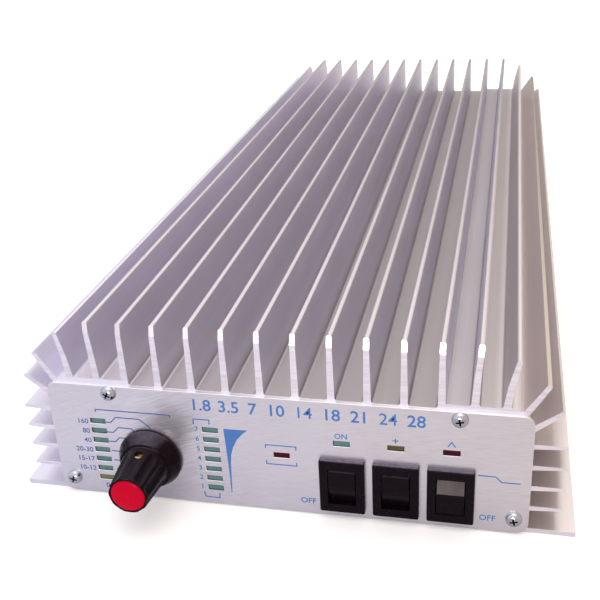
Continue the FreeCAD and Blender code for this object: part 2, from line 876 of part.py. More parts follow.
def make_rear_panel():
    body = panel_blank("rear_panel", "back_face")
    holes = sketch_on(body, "rear_holes", "XZ_Plane", "-(body_back)")
    for centre in panel_screw_places():
        ring(holes, centre, "screw_hole_width")
    for centre in socket_screw_places():
        ring(holes, centre, "screw_hole_width")
    for centre in socket_centres():
        ring(holes, centre, "socket_neck + 2 * socket_neck_gap")
    ring(holes, ("jack_x", "socket_z"), "jack_width + 2 * tapped_gap")
    ring(holes, ("grommet_x", "socket_z"), "grommet_waist")
    pocket(body, holes, "panel_thickness + 0.5", along_normal=False)
    node("rear_panel", body)


def make_bottom_cover():
    width = "2 * (wall_inner_x - cover_gap)"
    length = "body_length - 2 * cover_gap"
    plate = middle_block((width, length, "cover_thickness"), ("0", "0", "0"))
    tools = []
    for across, along in cover_screw_places():
        tools.append(rod("screw_hole_width", "cover_thickness + 2", (across, along, "-1")))
        seat = ("screw_head_width + 0.2", "screw_hole_width", "countersink_depth + 0.1")
        tools.append(cone(*seat, (across, along, "0")))
    node("bottom_cover", cut(plate, *tools))


def pan_screw(at, axis, length, domed=True):
    """A cross-head screw whose head stands out along the axis from its seat."""
    opposite = {"y": "-y", "-y": "y", "z": "-z", "-z": "z"}[axis]
    sign = "-" if axis.startswith("-") else "+"
    slot = axis[-1]
    shank = rod("screw_width", length, at, opposite)
    head = rod("screw_head_width", "screw_head_height", at, axis)
    if not domed:
        return join(shank, head)
    index = "xyz".index(slot)
    crown = list(at)
    crown[index] = f"{at[index]} {sign} (screw_head_height - screw_dome_radius)"
    ball = document.addObject("Part::Sphere", "ball")
    bind(ball, Radius="screw_dome_radius")
    place(ball, crown)
    dome = document.addObject("Part::Common", "dome")
    dome.Base = head
    dome.Tool = ball
    floor = list(at)
    floor[index] = f"{at[index]} {sign} (screw_head_height - screw_recess_depth / 2 + 0.1)"
    arms = []
    for long_way in (0, 1):
        size = ["screw_recess_width", "screw_recess_width", "screw_recess_width"]
        size[index] = "screw_recess_depth + 0.2"
        size[[way for way in range(3) if way != index][long_way]] = "screw_recess_length"
        corner = [f"{floor[way]} - ({size[way]}) / 2" for way in range(3)]
        arms.append(block(size, corner))
    return cut(join(shank, dome), *arms)


def make_screws():
    front = [pan_screw((x, "panel_face", z), "-y", "screw_length") for x, z in panel_screw_places()]
    node("front_panel_screws", group(front))
    back = [pan_screw((x, "back_face", z), "y", "screw_length") for x, z in panel_screw_places()]
    node("rear_panel_screws", group(back))
    cover = []
    for across, along in cover_screw_places():
        head = cone("screw_head_width", "screw_width", "countersink_depth", (across, along, "0.1"))
        shank = rod("screw_width", "short_screw_length - 0.2", (across, along, "0.2"))
        driver = middle_block(
            ("screw_recess_length", "screw_recess_width", "screw_recess_depth"), (across, along, "-0.1")
        )
        cover.append(cut(join(head, shank), driver))
    node("bottom_cover_screws", group(cover))


# ---- band selector ---------------------------------------------------------------------------


def on_knob_axis(y):
    return ("knob_x", y, "knob_z")


def make_selector():
    case = rod("selector_width", "selector_depth", on_knob_axis("body_front"), "y")
    bushing_length = "bushing_length + panel_thickness + 1"
    bushing = rod("bushing_width", bushing_length, on_knob_axis("body_front + 1"), "-y")
    bore_length = "bushing_length + panel_thickness + shaft_seat + 1"
    bore_width = "shaft_width + 2 * shaft_gap"
    bore = rod(bore_width, bore_length, on_knob_axis("body_front + shaft_seat"), "-y")
    node("selector_switch_body", cut(join(case, bushing), bore))
    washer = rod("washer_width", "washer_thickness", on_knob_axis("panel_face"), "-y")
    hole = "bushing_width + 2 * tapped_gap"
    washer_hole = rod(hole, "washer_thickness + 2", on_knob_axis("panel_face + 1"), "-y")
    node("selector_washer", cut(washer, washer_hole))
    nut = hexagon("nut_flats", "nut_thickness", on_knob_axis("panel_face - washer_thickness"), "-y")
    nut_hole = rod(hole, "nut_thickness + 2", on_knob_axis("panel_face - washer_thickness + 1"), "-y")
    node("selector_nut", cut(nut, nut_hole))
    reach = "shaft_reach + panel_thickness + shaft_seat - 0.2"
    node("selector_shaft", rod("shaft_width", reach, on_knob_axis("body_front + shaft_seat - 0.2"), "-y"))


def make_knob():
    blank = new_body("knob_blank")
    half = sketch_on(blank, "knob_half_section", "XY_Plane", "0")
    lathe = {
        "hollow": "skirt_width / 2 - knob_wall - 1.4",
        "neck": "bushing_width / 2 + 0.5",
        "neck_y": "panel_face - bushing_length - 0.5",
        "bore": "shaft_width / 2 + shaft_gap",
        "bore_y": "panel_face - shaft_reach - 0.4",
        "plug": "cap_plug_width / 2 + cap_gap",
        "seat": "cap_width / 2 + cap_gap",
    }
    section = [
        (lathe["hollow"], "knob_back"),
        ("skirt_width / 2", "knob_back"),
        ("skirt_width / 2", "knob_back - skirt_rim"),
        ("skirt_front_width / 2", "skirt_front"),
        ("grip_root_width / 2", "skirt_front"),
        ("grip_tip_width / 2", "knob_front"),
        (lathe["seat"], "knob_front"),
        (lathe["seat"], "knob_front + cap_recess"),
        (lathe["plug"], "knob_front + cap_recess"),
        (lathe["plug"], "knob_front + cap_recess + cap_plug_length + cap_gap"),
        ("0", "knob_front + cap_recess + cap_plug_length + cap_gap"),
        ("0", lathe["bore_y"]),
        (lathe["bore"], lathe["bore_y"]),
        (lathe["bore"], lathe["neck_y"]),
        (lathe["neck"], lathe["neck_y"]),
        (lathe["neck"], "knob_back - knob_hollow_depth"),
        (lathe["hollow"], "knob_back - knob_hollow_depth"),
    ]
    outline(half, section)
    turned = blank.newObject("PartDesign::Revolution", "knob_turned")
    turned.Profile = half
    turned.ReferenceAxis = (half, ["V_Axis"])
    blank.Tip = turned
    bind(blank, Placement__Base__x="knob_x", Placement__Base__z="knob_z")
    flutes = []
    middle = "((grip_root_width + grip_tip_width) / 4 + flute_radius - flute_depth)"
    slope = "atan((grip_root_width - grip_tip_width) / 2 / (knob_depth - skirt_depth))"
    reach = "(knob_depth - skirt_depth)"
    for index in range(int(number("flute_count"))):
        bearing = f"(({index} + 0.5) * 360 deg / flute_count)"
        flute = document.addObject("Part::Cylinder", "flute")
        bind(flute, Radius="flute_radius", Height=f"{reach} + 1.5")
        spin = number(f"({index} + 0.5) * 360 / flute_count")
        lean = FreeCAD.Rotation(FreeCAD.Vector(1, 0, 0), number(slope))
        along = FreeCAD.Rotation(FreeCAD.Vector(1, 0, 0), 90)
        around = FreeCAD.Rotation(FreeCAD.Vector(0, 1, 0), spin)
        flute.Placement = FreeCAD.Placement(FreeCAD.Vector(0, 0, 0), around * lean * along)
        root = f"({middle} + {reach} / 2 * tan({slope}))"
        bind(
            flute,
            Placement__Base__x=f"knob_x + {root} * sin({bearing})",
            Placement__Base__y="skirt_front",
            Placement__Base__z=f"knob_z + {root} * cos({bearing})",
        )
        flutes.append(flute)
    screw_y = "panel_face - set_screw_reach"
    tap = rod("set_screw_width + 2 * shaft_gap", "grip_root_width", ("knob_x", screw_y, "knob_z"))
    node("selector_knob", cut(blank, *flutes, tap))
    low = "knob_z + shaft_width / 2 + shaft_gap"
    thread = rod("set_screw_width", "set_screw_length", ("knob_x", screw_y, low))
    slot_z = f"{low} + set_screw_length - set_screw_slot"
    slot = middle_block(
        ("set_screw_width + 1", "set_screw_slot", "set_screw_slot + 1"), ("knob_x", screw_y, slot_z)
    )
    node("knob_set_screw", cut(thread, slot))


def make_knob_cap():
    cap = new_body("knob_cap")
    half = sketch_on(cap, "cap_half_section", "XY_Plane", "0")
    seat = "knob_front + cap_recess"
    section = [
        ("0", f"{seat} + cap_plug_length"),
        ("cap_plug_width / 2", f"{seat} + cap_plug_length"),
        ("cap_plug_width / 2", seat),
        ("cap_width / 2", seat),
        ("cap_width / 2", "knob_front + 0.1"),
        ("cap_width / 2 - 0.8", "knob_front - cap_rise + 0.2"),
        ("0", "knob_front - cap_rise"),
    ]
    outline(half, section)
    turned = cap.newObject("PartDesign::Revolution", "cap_turned")
    turned.Profile = half
    turned.ReferenceAxis = (half, ["V_Axis"])
    cap.Tip = turned
    bind(cap, Placement__Base__x="knob_x", Placement__Base__z="knob_z")
    node("knob_cap", cap)


# ---- rocker switches -----------------------------------------------------------------------


SWITCHES = ("power", "high_power", "delay")
# +1: the lower half is pressed in; -1: the upper half
PRESSED = {"power": 1, "high_power": 1, "delay": -1}


def make_switch(index, name):
    centre = (switch_x(index), "switch_z")
    housing = new_body(f"{name}_switch_housing")
    bezel = sketch_on(housing, f"{name}_bezel", "XZ_Plane", "-(panel_face)")
    oblong(bezel, centre, "bezel_width", "bezel_height")
    bezel_pad = pad(housing, bezel, "bezel_depth")
    document.recompute()
    rounded = housing.newObject("PartDesign::Fillet", f"{name}_bezel_corners")
    rounded.Base = (bezel_pad, edges_where(bezel_pad, lambda ends: abs(ends[0].Y - ends[-1].Y) > 1e-4))
    bind(rounded, Radius="bezel_corner")
    housing.Tip = rounded
    document.recompute()
    front = number("bezel_face")
    slope = housing.newObject("PartDesign::Chamfer", f"{name}_bezel_slope")
    in_front = edges_where(rounded, lambda ends: all(abs(end.Y - front) < 1e-4 for end in ends))
    slope.Base = (rounded, in_front)
    bind(slope, Size="bezel_slope")
    housing.Tip = slope
    rear = sketch_on(housing, f"{name}_rear", "XZ_Plane", "-(body_front + switch_body_depth)")
    oblong(rear, centre, "switch_body_width", "switch_body_height")
    pad(housing, rear, "switch_body_depth + panel_thickness")
    well = sketch_on(housing, f"{name}_well", "XZ_Plane", "-(bezel_face)")
    oblong(well, centre, "hollow_width", "hollow_height")
    pocket(housing, well, "rocker_pivot_depth + rocker_well")
    bearing_x = f"{centre[0]} - hollow_width / 2 - pin_length"
    bearing = sketch_on(housing, f"{name}_bearing", "YZ_Plane", bearing_x)
    ring(bearing, ("pivot_y", "switch_z"), "pin_width + 2 * pin_gap")
    pocket(housing, bearing, "hollow_width + 2 * pin_length", along_normal=True)
    node(f"{name}_switch_housing", housing)

    tilt = f"{PRESSED[name]} * rocker_lean"
    rocker = new_body(f"{name}_rocker")
    side = sketch_on(rocker, f"{name}_rocker_side", "YZ_Plane", "-rocker_width / 2")
    lean = "(rocker_lean * 1 deg)"
    crown = "(rocker_crown / 2)"
    offset = f"({crown} * cos({lean}) - rocker_reach * sin({lean}))"
    spare = f"(rocker_radius^2 - rocker_reach^2 - {crown}^2)"
    step = f"(sqrt({offset}^2 + {spare}) - {offset})"
    end_u = f"(rocker_reach - {step} * sin({lean}))"
    end_v = f"({crown} + {step} * cos({lean}))"
    back_v = "sqrt(rocker_radius^2 - rocker_back^2)"
    section = [
        ("-rocker_reach", f"-{crown}"),
        ("-rocker_reach", crown),
        (f"-{end_u}", end_v),
        ("rocker_back", back_v),
        ("rocker_back", f"-{back_v}"),
        (f"-{end_u}", f"-{end_v}"),
    ]
    outline(side, section, {2: "-rocker_radius", 4: "-rocker_radius"})
    pad(rocker, side, "rocker_width")
    pins = sketch_on(rocker, f"{name}_rocker_pins", "YZ_Plane", "-rocker_width / 2 - pin_length")
    ring(pins, ("0", "0"), "pin_width")
    pad(rocker, pins, "rocker_width + 2 * pin_length")
    place(rocker, (centre[0], "pivot_y", centre[1]))
    rocker.Placement.Rotation = FreeCAD.Rotation(FreeCAD.Vector(1, 0, 0), number(tilt))
    bind(rocker, Placement__Base__x=centre[0], Placement__Base__y="pivot_y", Placement__Base__z=centre[1])
    node(f"{name}_rocker", rocker)

    blades = []
    for rank in (-1, 0, 1):
        at = (
            f"{centre[0]} - terminal_width / 2",
            "body_front + switch_body_depth",
            f"switch_z + {rank} * terminal_pitch - terminal_thickness / 2",
        )
        blades.append(block(("terminal_width", "terminal_length", "terminal_thickness"), at))
    return blades


def make_switches():
    blades = []
    for index, name in enumerate(SWITCHES):
        blades += make_switch(index, name)
    node("switch_terminals", group(blades))


# ---- lamps and the display board -----------------------------------------------------------


def lamp(centre):
    """A flat lamp with its foot and two leads, which stand on the display board."""
    x, z = centre
    face = "panel_face + lamp_recess"
    foot_y = f"({face} + lamp_length)"
    lens = block(
        ("lamp_width", "lamp_length", "lamp_height"),
        (f"{x} - lamp_width / 2", face, f"{z} - lamp_height / 2"),
    )
    foot = block(
        ("lamp_width + 2 * lamp_foot_rim", "lamp_foot", "lamp_height + 2 * lamp_foot_rim"),
        (f"{x} - lamp_width / 2 - lamp_foot_rim", foot_y, f"{z} - lamp_height / 2 - lamp_foot_rim"),
    )
    leads = []
    for side in (-1, 1):
        lead_x = f"{x} + {side} * lamp_lead_pitch / 2 - lamp_lead_width / 2"
        size = ("lamp_lead_width", f"display_face - {foot_y}", "lamp_lead_width")
        leads.append(block(size, (lead_x, foot_y, f"{z} - lamp_lead_width / 2")))
    return join(lens, foot, *leads)


def make_lamps():
    for label, centres in lamp_places().items():
        lamps = [lamp(centre) for centre in centres]
        node(label, lamps[0] if len(lamps) == 1 else group(lamps))


def make_display_board():
    board = block(
        ("display_board_width", "board_thickness", "display_board_height"),
        ("-display_board_width / 2", "display_face", "display_board_low_z"),
    )
    notches = []
    for index in range(3):
        width = "switch_body_width + 4 * switch_hole_gap"
        size = (width, "board_thickness + 2", "switch_body_height + 2")
        low = "switch_z + switch_body_height / 2 + 2 * switch_hole_gap - switch_body_height - 2"
        notches.append(block(size, (f"{switch_x(index)} - ({width}) / 2", "display_face - 1", low)))
    node("display_board", cut(board, *notches))


def make_ribbon():
    body = new_body("display_ribbon")
    side = sketch_on(body, "ribbon_side", "YZ_Plane", "-ribbon_width / 2")
    back = "display_back + ribbon_run"
    points = [
        ("display_back", "ribbon_z"),
        (f"{back} - ribbon_thickness", "ribbon_z"),
        (back, "ribbon_z + ribbon_thickness"),
        (back, "board_low_z"),
        (f"{back} - ribbon_thickness", "board_low_z"),
        (f"{back} - ribbon_thickness", "ribbon_z + ribbon_thickness"),
        ("display_back", "ribbon_z + ribbon_thickness"),
    ]
    outline(side, points)
    pad(body, side, "ribbon_width")
    node("display_ribbon", body)


# ---- boards under the web ------------------------------------------------------------------


def make_boards():
    holes = {"filter_board": [], "amplifier_board": []}
    spacers = []
    screws = []
    for order, (across, along) in enumerate(board_screw_places()):
        board = "filter_board" if order < 4 else "amplifier_board"
        drill = ("screw_hole_width", "board_thickness + 2", (across, along, "board_low_z - 1"))
        holes[board].append(rod(*drill))
        spacer = rod("spacer_width", "board_stand", (across, along, "board_top_z"))
        bore = rod("screw_hole_width", "board_stand + 2", (across, along, "board_top_z - 1"))
        spacers.append(cut(spacer, bore))
        length = "web_screw_depth + board_stand + board_thickness"
        screws.append(pan_screw((across, along, "board_low_z"), "-z", length, domed=False))
    for index in range(int(number("transistor_count"))):
        size = (
            "flange_plate_length + 2 * transistor_window_gap",
            "flange_plate_width + 2 * transistor_window_gap",
            "board_thickness + 2",
        )
        window_at = (transistor_x(index), "transistor_y", "board_low_z - 1")
        holes["amplifier_board"].append(middle_block(size, window_at))
    for label, tools in holes.items():
        size = ("board_width", f"{label}_length", "board_thickness")
        plate = block(size, ("-board_width / 2", f"{label}_front_y", "board_low_z"))
        node(label, cut(plate, *tools))
    node("board_spacers", group(spacers))
    node("board_screws", group(screws))


def hung_block(size, x, y):
    """A box-shaped part whose top lies against the underside of a board."""
    return middle_block(size, (x, y, f"board_low_z - {size[2]}"))


def hung_ring(width, bore, height, x, y):
    """A wound ring core against the underside of a board."""
    outer = rod(width, height, (x, y, f"board_low_z - {height}"))
    return cut(outer, rod(bore, f"{height} + 2", (x, y, f"board_low_z - {height} - 1")))


def make_filters():
    relays = []
    coils = []
    chips = []
    for index in range(int(number("band_count"))):
        y = f"row_first_y + {index} * band_pitch"
        for sign in ("-", ""):
            relays.append(hung_block(("relay_length", "relay_width", "relay_height"), f"{sign}relay_x", y))
            coils.append(hung_ring("coil_width", "coil_bore", "coil_height", f"{sign}coil_x", y))
        chips.append(hung_block(("chip_width", "chip_thickness", "chip_height"), "0", y))
    node("band_relays", group(relays))
    node("filter_coils", group(coils))
    node("filter_capacitors", group(chips))


def make_transistors():
    parts = []
    for index in range(int(number("transistor_count"))):
        x = transistor_x(index)
        flange_z = "ceiling_z - flange_plate_height"
        flange = middle_block(
            ("flange_plate_length", "flange_plate_width", "flange_plate_height"),
            (x, "transistor_y", flange_z),
        )
        bolt_holes = []
        for sign in ("-", "+"):
            centre = (f"{x} {sign} transistor_screw_pitch / 2", "transistor_y", f"{flange_z} - 1")
            bolt_holes.append(rod("screw_hole_width", "flange_plate_height + 2", centre))
        case = middle_block(
            ("transistor_body_length", "flange_plate_width", "transistor_body_height"),
            (x, "transistor_y", f"{flange_z} - transistor_body_height"),
        )
        leads = middle_block(
            ("transistor_lead_width", "2 * transistor_lead_reach", "transistor_lead_height"),
            (x, "transistor_y", "board_low_z - transistor_lead_height"),
        )
        parts.append(join(cut(flange, *bolt_holes), case, leads))
    node("rf_transistors", group(parts))
    screws = []
    for across, along in transistor_screw_places():
        seat = (across, along, "ceiling_z - flange_plate_height")
        screws.append(pan_screw(seat, "-z", "web_screw_depth + flange_plate_height", domed=False))
    node("transistor_screws", group(screws))


def make_output_transformer():
    axis_z = "board_low_z - core_drop"
    cores = []
    tubes = []
    plates = []
    row = [f"transformer_y + {side} * core_pitch / 2" for side in (-1, 1)]
    for y in row:
        core = rod("core_width", "core_length", ("-core_length / 2", y, axis_z), "x")
        bore = rod("core_bore", "core_length + 2", ("-core_length / 2 - 1", y, axis_z), "x")
        cores.append(cut(core, bore))
        reach = "(core_length / 2 + core_plate_thickness + tube_stub)"
        tube = rod("tube_width", f"2 * {reach}", (f"-{reach}", y, axis_z), "x")
        inside = rod("tube_bore", f"2 * {reach} + 2", (f"-{reach} - 1", y, axis_z), "x")
        tubes.append(cut(tube, inside))
    for x in ("-core_length / 2 - core_plate_thickness", "core_length / 2"):
        size = (
            "core_plate_thickness",
            "core_pitch + core_width + 2 * core_plate_rim",
            "core_drop + core_width / 2 + core_plate_rim",
        )
        plate = block(size, (x, f"transformer_y - ({size[1]}) / 2", f"board_low_z - ({size[2]})"))
        drills = [rod("core_bore", "core_plate_thickness + 2", (f"{x} - 1", y, axis_z), "x") for y in row]
        plates.append(cut(plate, *drills))
    node("output_transformer_cores", group(cores))
    node("output_transformer_tubes", group(tubes))
    node("output_transformer_plates", group(plates))
    node("output_transformer_winding", winding(row, axis_z))


def winding(row, axis_z):
    """A closed turn of thick wire through both tubes."""
    straight = [rod("winding_width", "2 * winding_end_x", ("-winding_end_x", y, axis_z), "x") for y in row]
    bends = []
    for sign in (-1, 1):
        bend = document.addObject("Part::Torus", "bend")
        bend.Angle3 = 180
        bind(bend, Radius1="core_pitch / 2", Radius2="winding_width / 2")
        place(bend, (f"{sign} * winding_end_x", "transformer_y", axis_z))
        bend.Placement.Rotation = FreeCAD.Rotation(FreeCAD.Vector(0, 0, 1), -90 * sign)
        bends.append(bend)
    return join(*straight, *bends)


def make_amplifier_parts():
    core = hung_block(("input_core_length", "input_core_width", "input_core_height"), "0", "input_core_y")
    bores = []
    for side in ("-", "+"):
        at = (
            "-input_core_length / 2 - 1",
            f"input_core_y {side} input_core_pitch / 2",
            "board_low_z - input_core_height / 2",
        )
        bores.append(rod("input_core_bore", "input_core_length + 2", at, "x"))
    node("input_transformer", cut(core, *bores))
    capacitors = []
    for index in range(int(number("capacitor_count"))):
        x = f"capacitor_pitch * ({index} - (capacitor_count - 1) / 2)"
        capacitors.append(rod("capacitor_width", "capacitor_height", (x, "rear_row_y", "board_low_z"), "-z"))
    node("supply_capacitors", group(capacitors))
    relay = ("antenna_relay_length", "antenna_relay_width", "antenna_relay_height")
    sides = [hung_block(relay, f"{sign}antenna_relay_x", "rear_row_y") for sign in ("-", "")]
    node("antenna_relays", group(sides))
    node("supply_choke", hung_ring("choke_width", "choke_bore", "choke_height", "choke_x", "choke_y"))
    holder_size = ("fuse_block_width", "fuse_block_length", "fuse_block_height")
    holder = hung_block(holder_size, "fuse_x", "fuse_y")
    slots = []
    fuses = []
    for index in range(int(number("fuse_count"))):
        x = f"fuse_x + fuse_pitch * ({index} - (fuse_count - 1) / 2)"
        size = ("fuse_thickness + 2 * fuse_gap", "fuse_width + 2 * fuse_gap", "fuse_slot_depth + 1")
        slots.append(middle_block(size, (x, "fuse_y", "board_low_z - fuse_block_height - 1")))
        top = "board_low_z - fuse_block_height + fuse_slot_depth"
        fuse = ("fuse_thickness", "fuse_width", "fuse_height")
        fuses.append(middle_block(fuse, (x, "fuse_y", f"{top} - fuse_height")))
    node("fuse_holder", cut(holder, *slots))
    node("blade_fuses", group(fuses))


# ---- back panel fittings -------------------------------------------------------------------


def make_sockets():
    insulators = []
    contacts = []
    for label, (x, z) in zip(("input_socket", "antenna_socket"), socket_centres()):
        plate_at = (f"{x} - socket_flange / 2", "back_face", f"{z} - socket_flange / 2")
        plate = block(("socket_flange", "socket_flange_thickness", "socket_flange"), plate_at)
        barrel = rod("socket_thread", "socket_reach", (x, "back_face", z), "y")
        neck = rod("socket_neck", "socket_neck_length", (x, "back_face + 1", z), "-y")
        bore_at = (x, "back_face - socket_neck_length - 1", z)
        bore = rod("socket_bore", "socket_reach + socket_neck_length + 2", bore_at, "y")
        holes = []
        for across, up in socket_screw_places():
            if (number(across) < 0) == (number(x) < 0):
                at = (across, "back_face - 1", up)
                holes.append(rod("screw_hole_width", "socket_flange_thickness + 2", at, "y"))
        neck_bore = rod("contact_width + 2", "socket_neck_length + 2", (x, "back_face + 1", z), "-y")
        node(label, cut(join(plate, barrel, neck), bore, neck_bore, *holes))
        filler_length = "insulator_reach + socket_neck_length"
        filler = rod("socket_bore", filler_length, (x, "back_face - socket_neck_length", z), "y")
        channel = rod("contact_width", f"{filler_length} + 2", bore_at, "y")
        insulators.append(cut(filler, channel))
        pin_length = "contact_reach + contact_tail + socket_neck_length"
        pin = rod("contact_width", pin_length, (x, "back_face - socket_neck_length - contact_tail", z), "y")
        mouth = rod("contact_bore", "contact_reach", (x, "back_face + contact_reach + 1", z), "-y")
        contacts.append(cut(pin, mouth))
    node("socket_insulators", group(insulators))
    node("socket_contacts", group(contacts))
    seat = "back_face + socket_flange_thickness"
    screws = [pan_screw((x, seat, z), "y", "short_screw_length + 1.5") for x, z in socket_screw_places()]
    node("socket_screws", group(screws))


def make_rear_fittings():
    at = ("jack_x", "back_face", "socket_z")
    barrel_at = ("jack_x", "back_face - jack_length", "socket_z")
    barrel = rod("jack_width", "jack_length + jack_reach", barrel_at, "y")
    shoulder = hexagon("jack_hex", "jack_nut_thickness", at, "y")
    bore = rod("jack_bore", "jack_reach + 4", ("jack_x", "back_face + jack_reach + 1", "socket_z"), "-y")
    node("keying_jack", cut(join(barrel, shoulder), bore))
    nut_at = ("jack_x", "body_back", "socket_z")
    nut = hexagon("jack_hex", "jack_nut_thickness", nut_at, "-y")
    nut_hole = "jack_width + 2 * tapped_gap"
    nut_bore = rod(nut_hole, "jack_nut_thickness + 2", ("jack_x", "body_back + 1", "socket_z"), "-y")
    node("keying_jack_nut", cut(nut, nut_bore))
    inner = rod("grommet_width", "grommet_lip", ("grommet_x", "body_back", "socket_z"), "-y")
    outer = rod("grommet_width", "grommet_lip", ("grommet_x", "back_face", "socket_z"), "y")
    waist = rod("grommet_waist", "panel_thickness + 2", ("grommet_x", "body_back - 1", "socket_z"), "y")
    length = "panel_thickness + 2 * grommet_lip + 2"
    hole = rod("grommet_bore", length, ("grommet_x", "body_back - grommet_lip - 1", "socket_z"), "y")
    node("supply_lead_grommet", cut(join(inner, outer, waist), hole))


def bent_lead(points, bend, width):
    """A round lead along straight runs joined by tangent arcs of one radius."""
    edges = []
    start = points[0]
    for before, corner, after in zip(points, points[1:], points[2:]):
        back = (before - corner).normalize()
        on = (after - corner).normalize()
        half_turn = (FreeCAD.Vector(-back.x, -back.y, -back.z).getAngle(on)) / 2
        setback = bend * math.tan(half_turn)
        first = corner + back * setback
        last = corner + on * setback
        bisector = (back + on).normalize()
        centre = corner + bisector * (bend / math.cos(half_turn))
        crown = centre + (corner - centre).normalize() * bend
        edges.append(Part.LineSegment(start, first).toShape())
        edges.append(Part.Arc(first, crown, last).toShape())
        start = last
    edges.append(Part.LineSegment(start, points[-1]).toShape())
    path = Part.Wire(edges)
    heading = points[1] - points[0]
    profile = Part.Wire([Part.Circle(points[0], heading, width / 2).toShape()])
    return path.makePipeShell([profile], True, True)


def make_coax_leads():
    """From each socket's solder tail up to the board beside its relay."""
    leads = []
    board_z = number("board_low_z")
    z = number("socket_z")
    tail_y = number("back_face - socket_neck_length - contact_tail")
    for sign in (-1, 1):
        x = sign * number("socket_x")
        land_y = number("amplifier_board_front_y + amplifier_board_length - coax_width")
        land_x = sign * number("antenna_relay_x - coax_land_inset")
        route = [
            FreeCAD.Vector(x, tail_y, z),
            FreeCAD.Vector(x, (tail_y + land_y) / 2 + number("coax_slack"), z),
            FreeCAD.Vector(land_x, land_y, z - number("coax_sag")),
            FreeCAD.Vector(land_x, land_y, board_z),
        ]
        leads.append(bent_lead(route, number("coax_bend"), number("coax_width")))
    item = document.addObject("Part::Feature", "coax_leads")
    item.Shape = Part.Compound(leads)
    item.Placement = FreeCAD.Placement()
    node("coax_leads", item)


def check(item):
    """Stop if a sub-part failed or is no valid solid."""
    shape = item.Shape
    if shape.isNull() or not shape.isValid() or not shape.Solids:
        raise RuntimeError(f"{item.Label} is no valid solid")


def write_parts():
    document.recompute()
    for item in document.Objects:
        if "Invalid" in item.State or "Error" in item.State:
            raise RuntimeError(f"{item.Name} ({item.Label}) failed: {item.State}")
    os.makedirs("parts", exist_ok=True)
    for item in nodes:
        check(item)
        item.Shape.exportStep(os.path.join("parts", f"{item.Label}.step"))
        print(f"{item.Label}: {len(item.Shape.Solids)} solid(s), {item.Shape.Volume:.1f} mm3")


make_heatsink()
make_front_panel()
make_rear_panel()
make_bottom_cover()
make_screws()
make_selector()
make_knob()
make_knob_cap()
make_switches()
make_lamps()
make_display_board()
make_ribbon()
make_boards()
make_filters()
make_transistors()
make_output_transformer()
make_amplifier_parts()
make_sockets()
make_rear_fittings()
make_coax_leads()
write_parts()
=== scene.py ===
"""The finish of an HF linear amplifier: the finned body, the printed front plate, the band
knob, the rocker switches, the lamps, the sockets and the parts inside.

The pieces' lengths are in millimetres and turned into metres by MM; the finishes and the
stage are in metres. +X is right seen from the front, +Y runs to the back along the fins, +Z
is up. Every piece lies where the solid has it.
"""
import math

import bmesh
import bpy
from bpy.props import FloatProperty, FloatVectorProperty, IntProperty, PointerProperty
from mathutils import Euler, Matrix, Vector


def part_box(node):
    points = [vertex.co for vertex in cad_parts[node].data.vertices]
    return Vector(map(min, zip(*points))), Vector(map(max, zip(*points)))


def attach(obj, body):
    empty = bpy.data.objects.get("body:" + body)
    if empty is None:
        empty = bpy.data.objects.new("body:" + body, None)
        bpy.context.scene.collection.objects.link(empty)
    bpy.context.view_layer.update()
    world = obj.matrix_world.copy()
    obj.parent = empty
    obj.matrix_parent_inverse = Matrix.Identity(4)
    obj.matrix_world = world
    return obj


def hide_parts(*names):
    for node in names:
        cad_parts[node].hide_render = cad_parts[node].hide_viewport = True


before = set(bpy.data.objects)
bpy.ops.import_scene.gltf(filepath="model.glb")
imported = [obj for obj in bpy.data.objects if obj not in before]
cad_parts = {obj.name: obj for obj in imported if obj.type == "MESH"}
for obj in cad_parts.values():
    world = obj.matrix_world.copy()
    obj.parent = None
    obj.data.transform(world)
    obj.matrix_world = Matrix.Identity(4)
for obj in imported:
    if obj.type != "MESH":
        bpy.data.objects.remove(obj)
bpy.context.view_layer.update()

bl_info = {
    "name": "Linear amplifier finish",
    "version": (1, 0, 0),
    "blender": (4, 5, 0),
    "location": "3D View > Sidebar > Amplifier",
    "description": "Builds the visible pieces and the finishes of a finned linear amplifier",
    "category": "Object",
}

MM = 0.001
BODY_LOW, BODY_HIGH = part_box("heatsink")
PLATE_LOW, PLATE_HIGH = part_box("front_panel")
PLATE_LAP = 1.3  # how far the front plate stands out past each side wall
FRONT = BODY_LOW.y / MM
BACK = BODY_HIGH.y / MM
FACE = PLATE_LOW.y / MM
REAR_FACE = -FACE
WALL = PLATE_HIGH.x / MM - PLATE_LAP
FIN_TOP = BODY_HIGH.z / MM
LOWEST_LAMP = 7.4
SOCKET_X, SOCKET_Z = 50.0, 22.0
FLANGE = 3.2  # thickness of a socket's flange
FLANGE_HALF = 12.7
FLANGE_SCREW = 9.1  # from the socket's axis to its screws, along X and along Z


# ---- sizes and colours ----


def length(label, words, value):
    """A length in metres, from millimetres."""
    return FloatProperty(name=label, description=words, default=value * MM, unit="LENGTH", precision=5)


def colour(label, words, value):
    return FloatVectorProperty(
        name=label, description=words, default=value, subtype="COLOR", size=3, min=0.0, max=1.0
    )


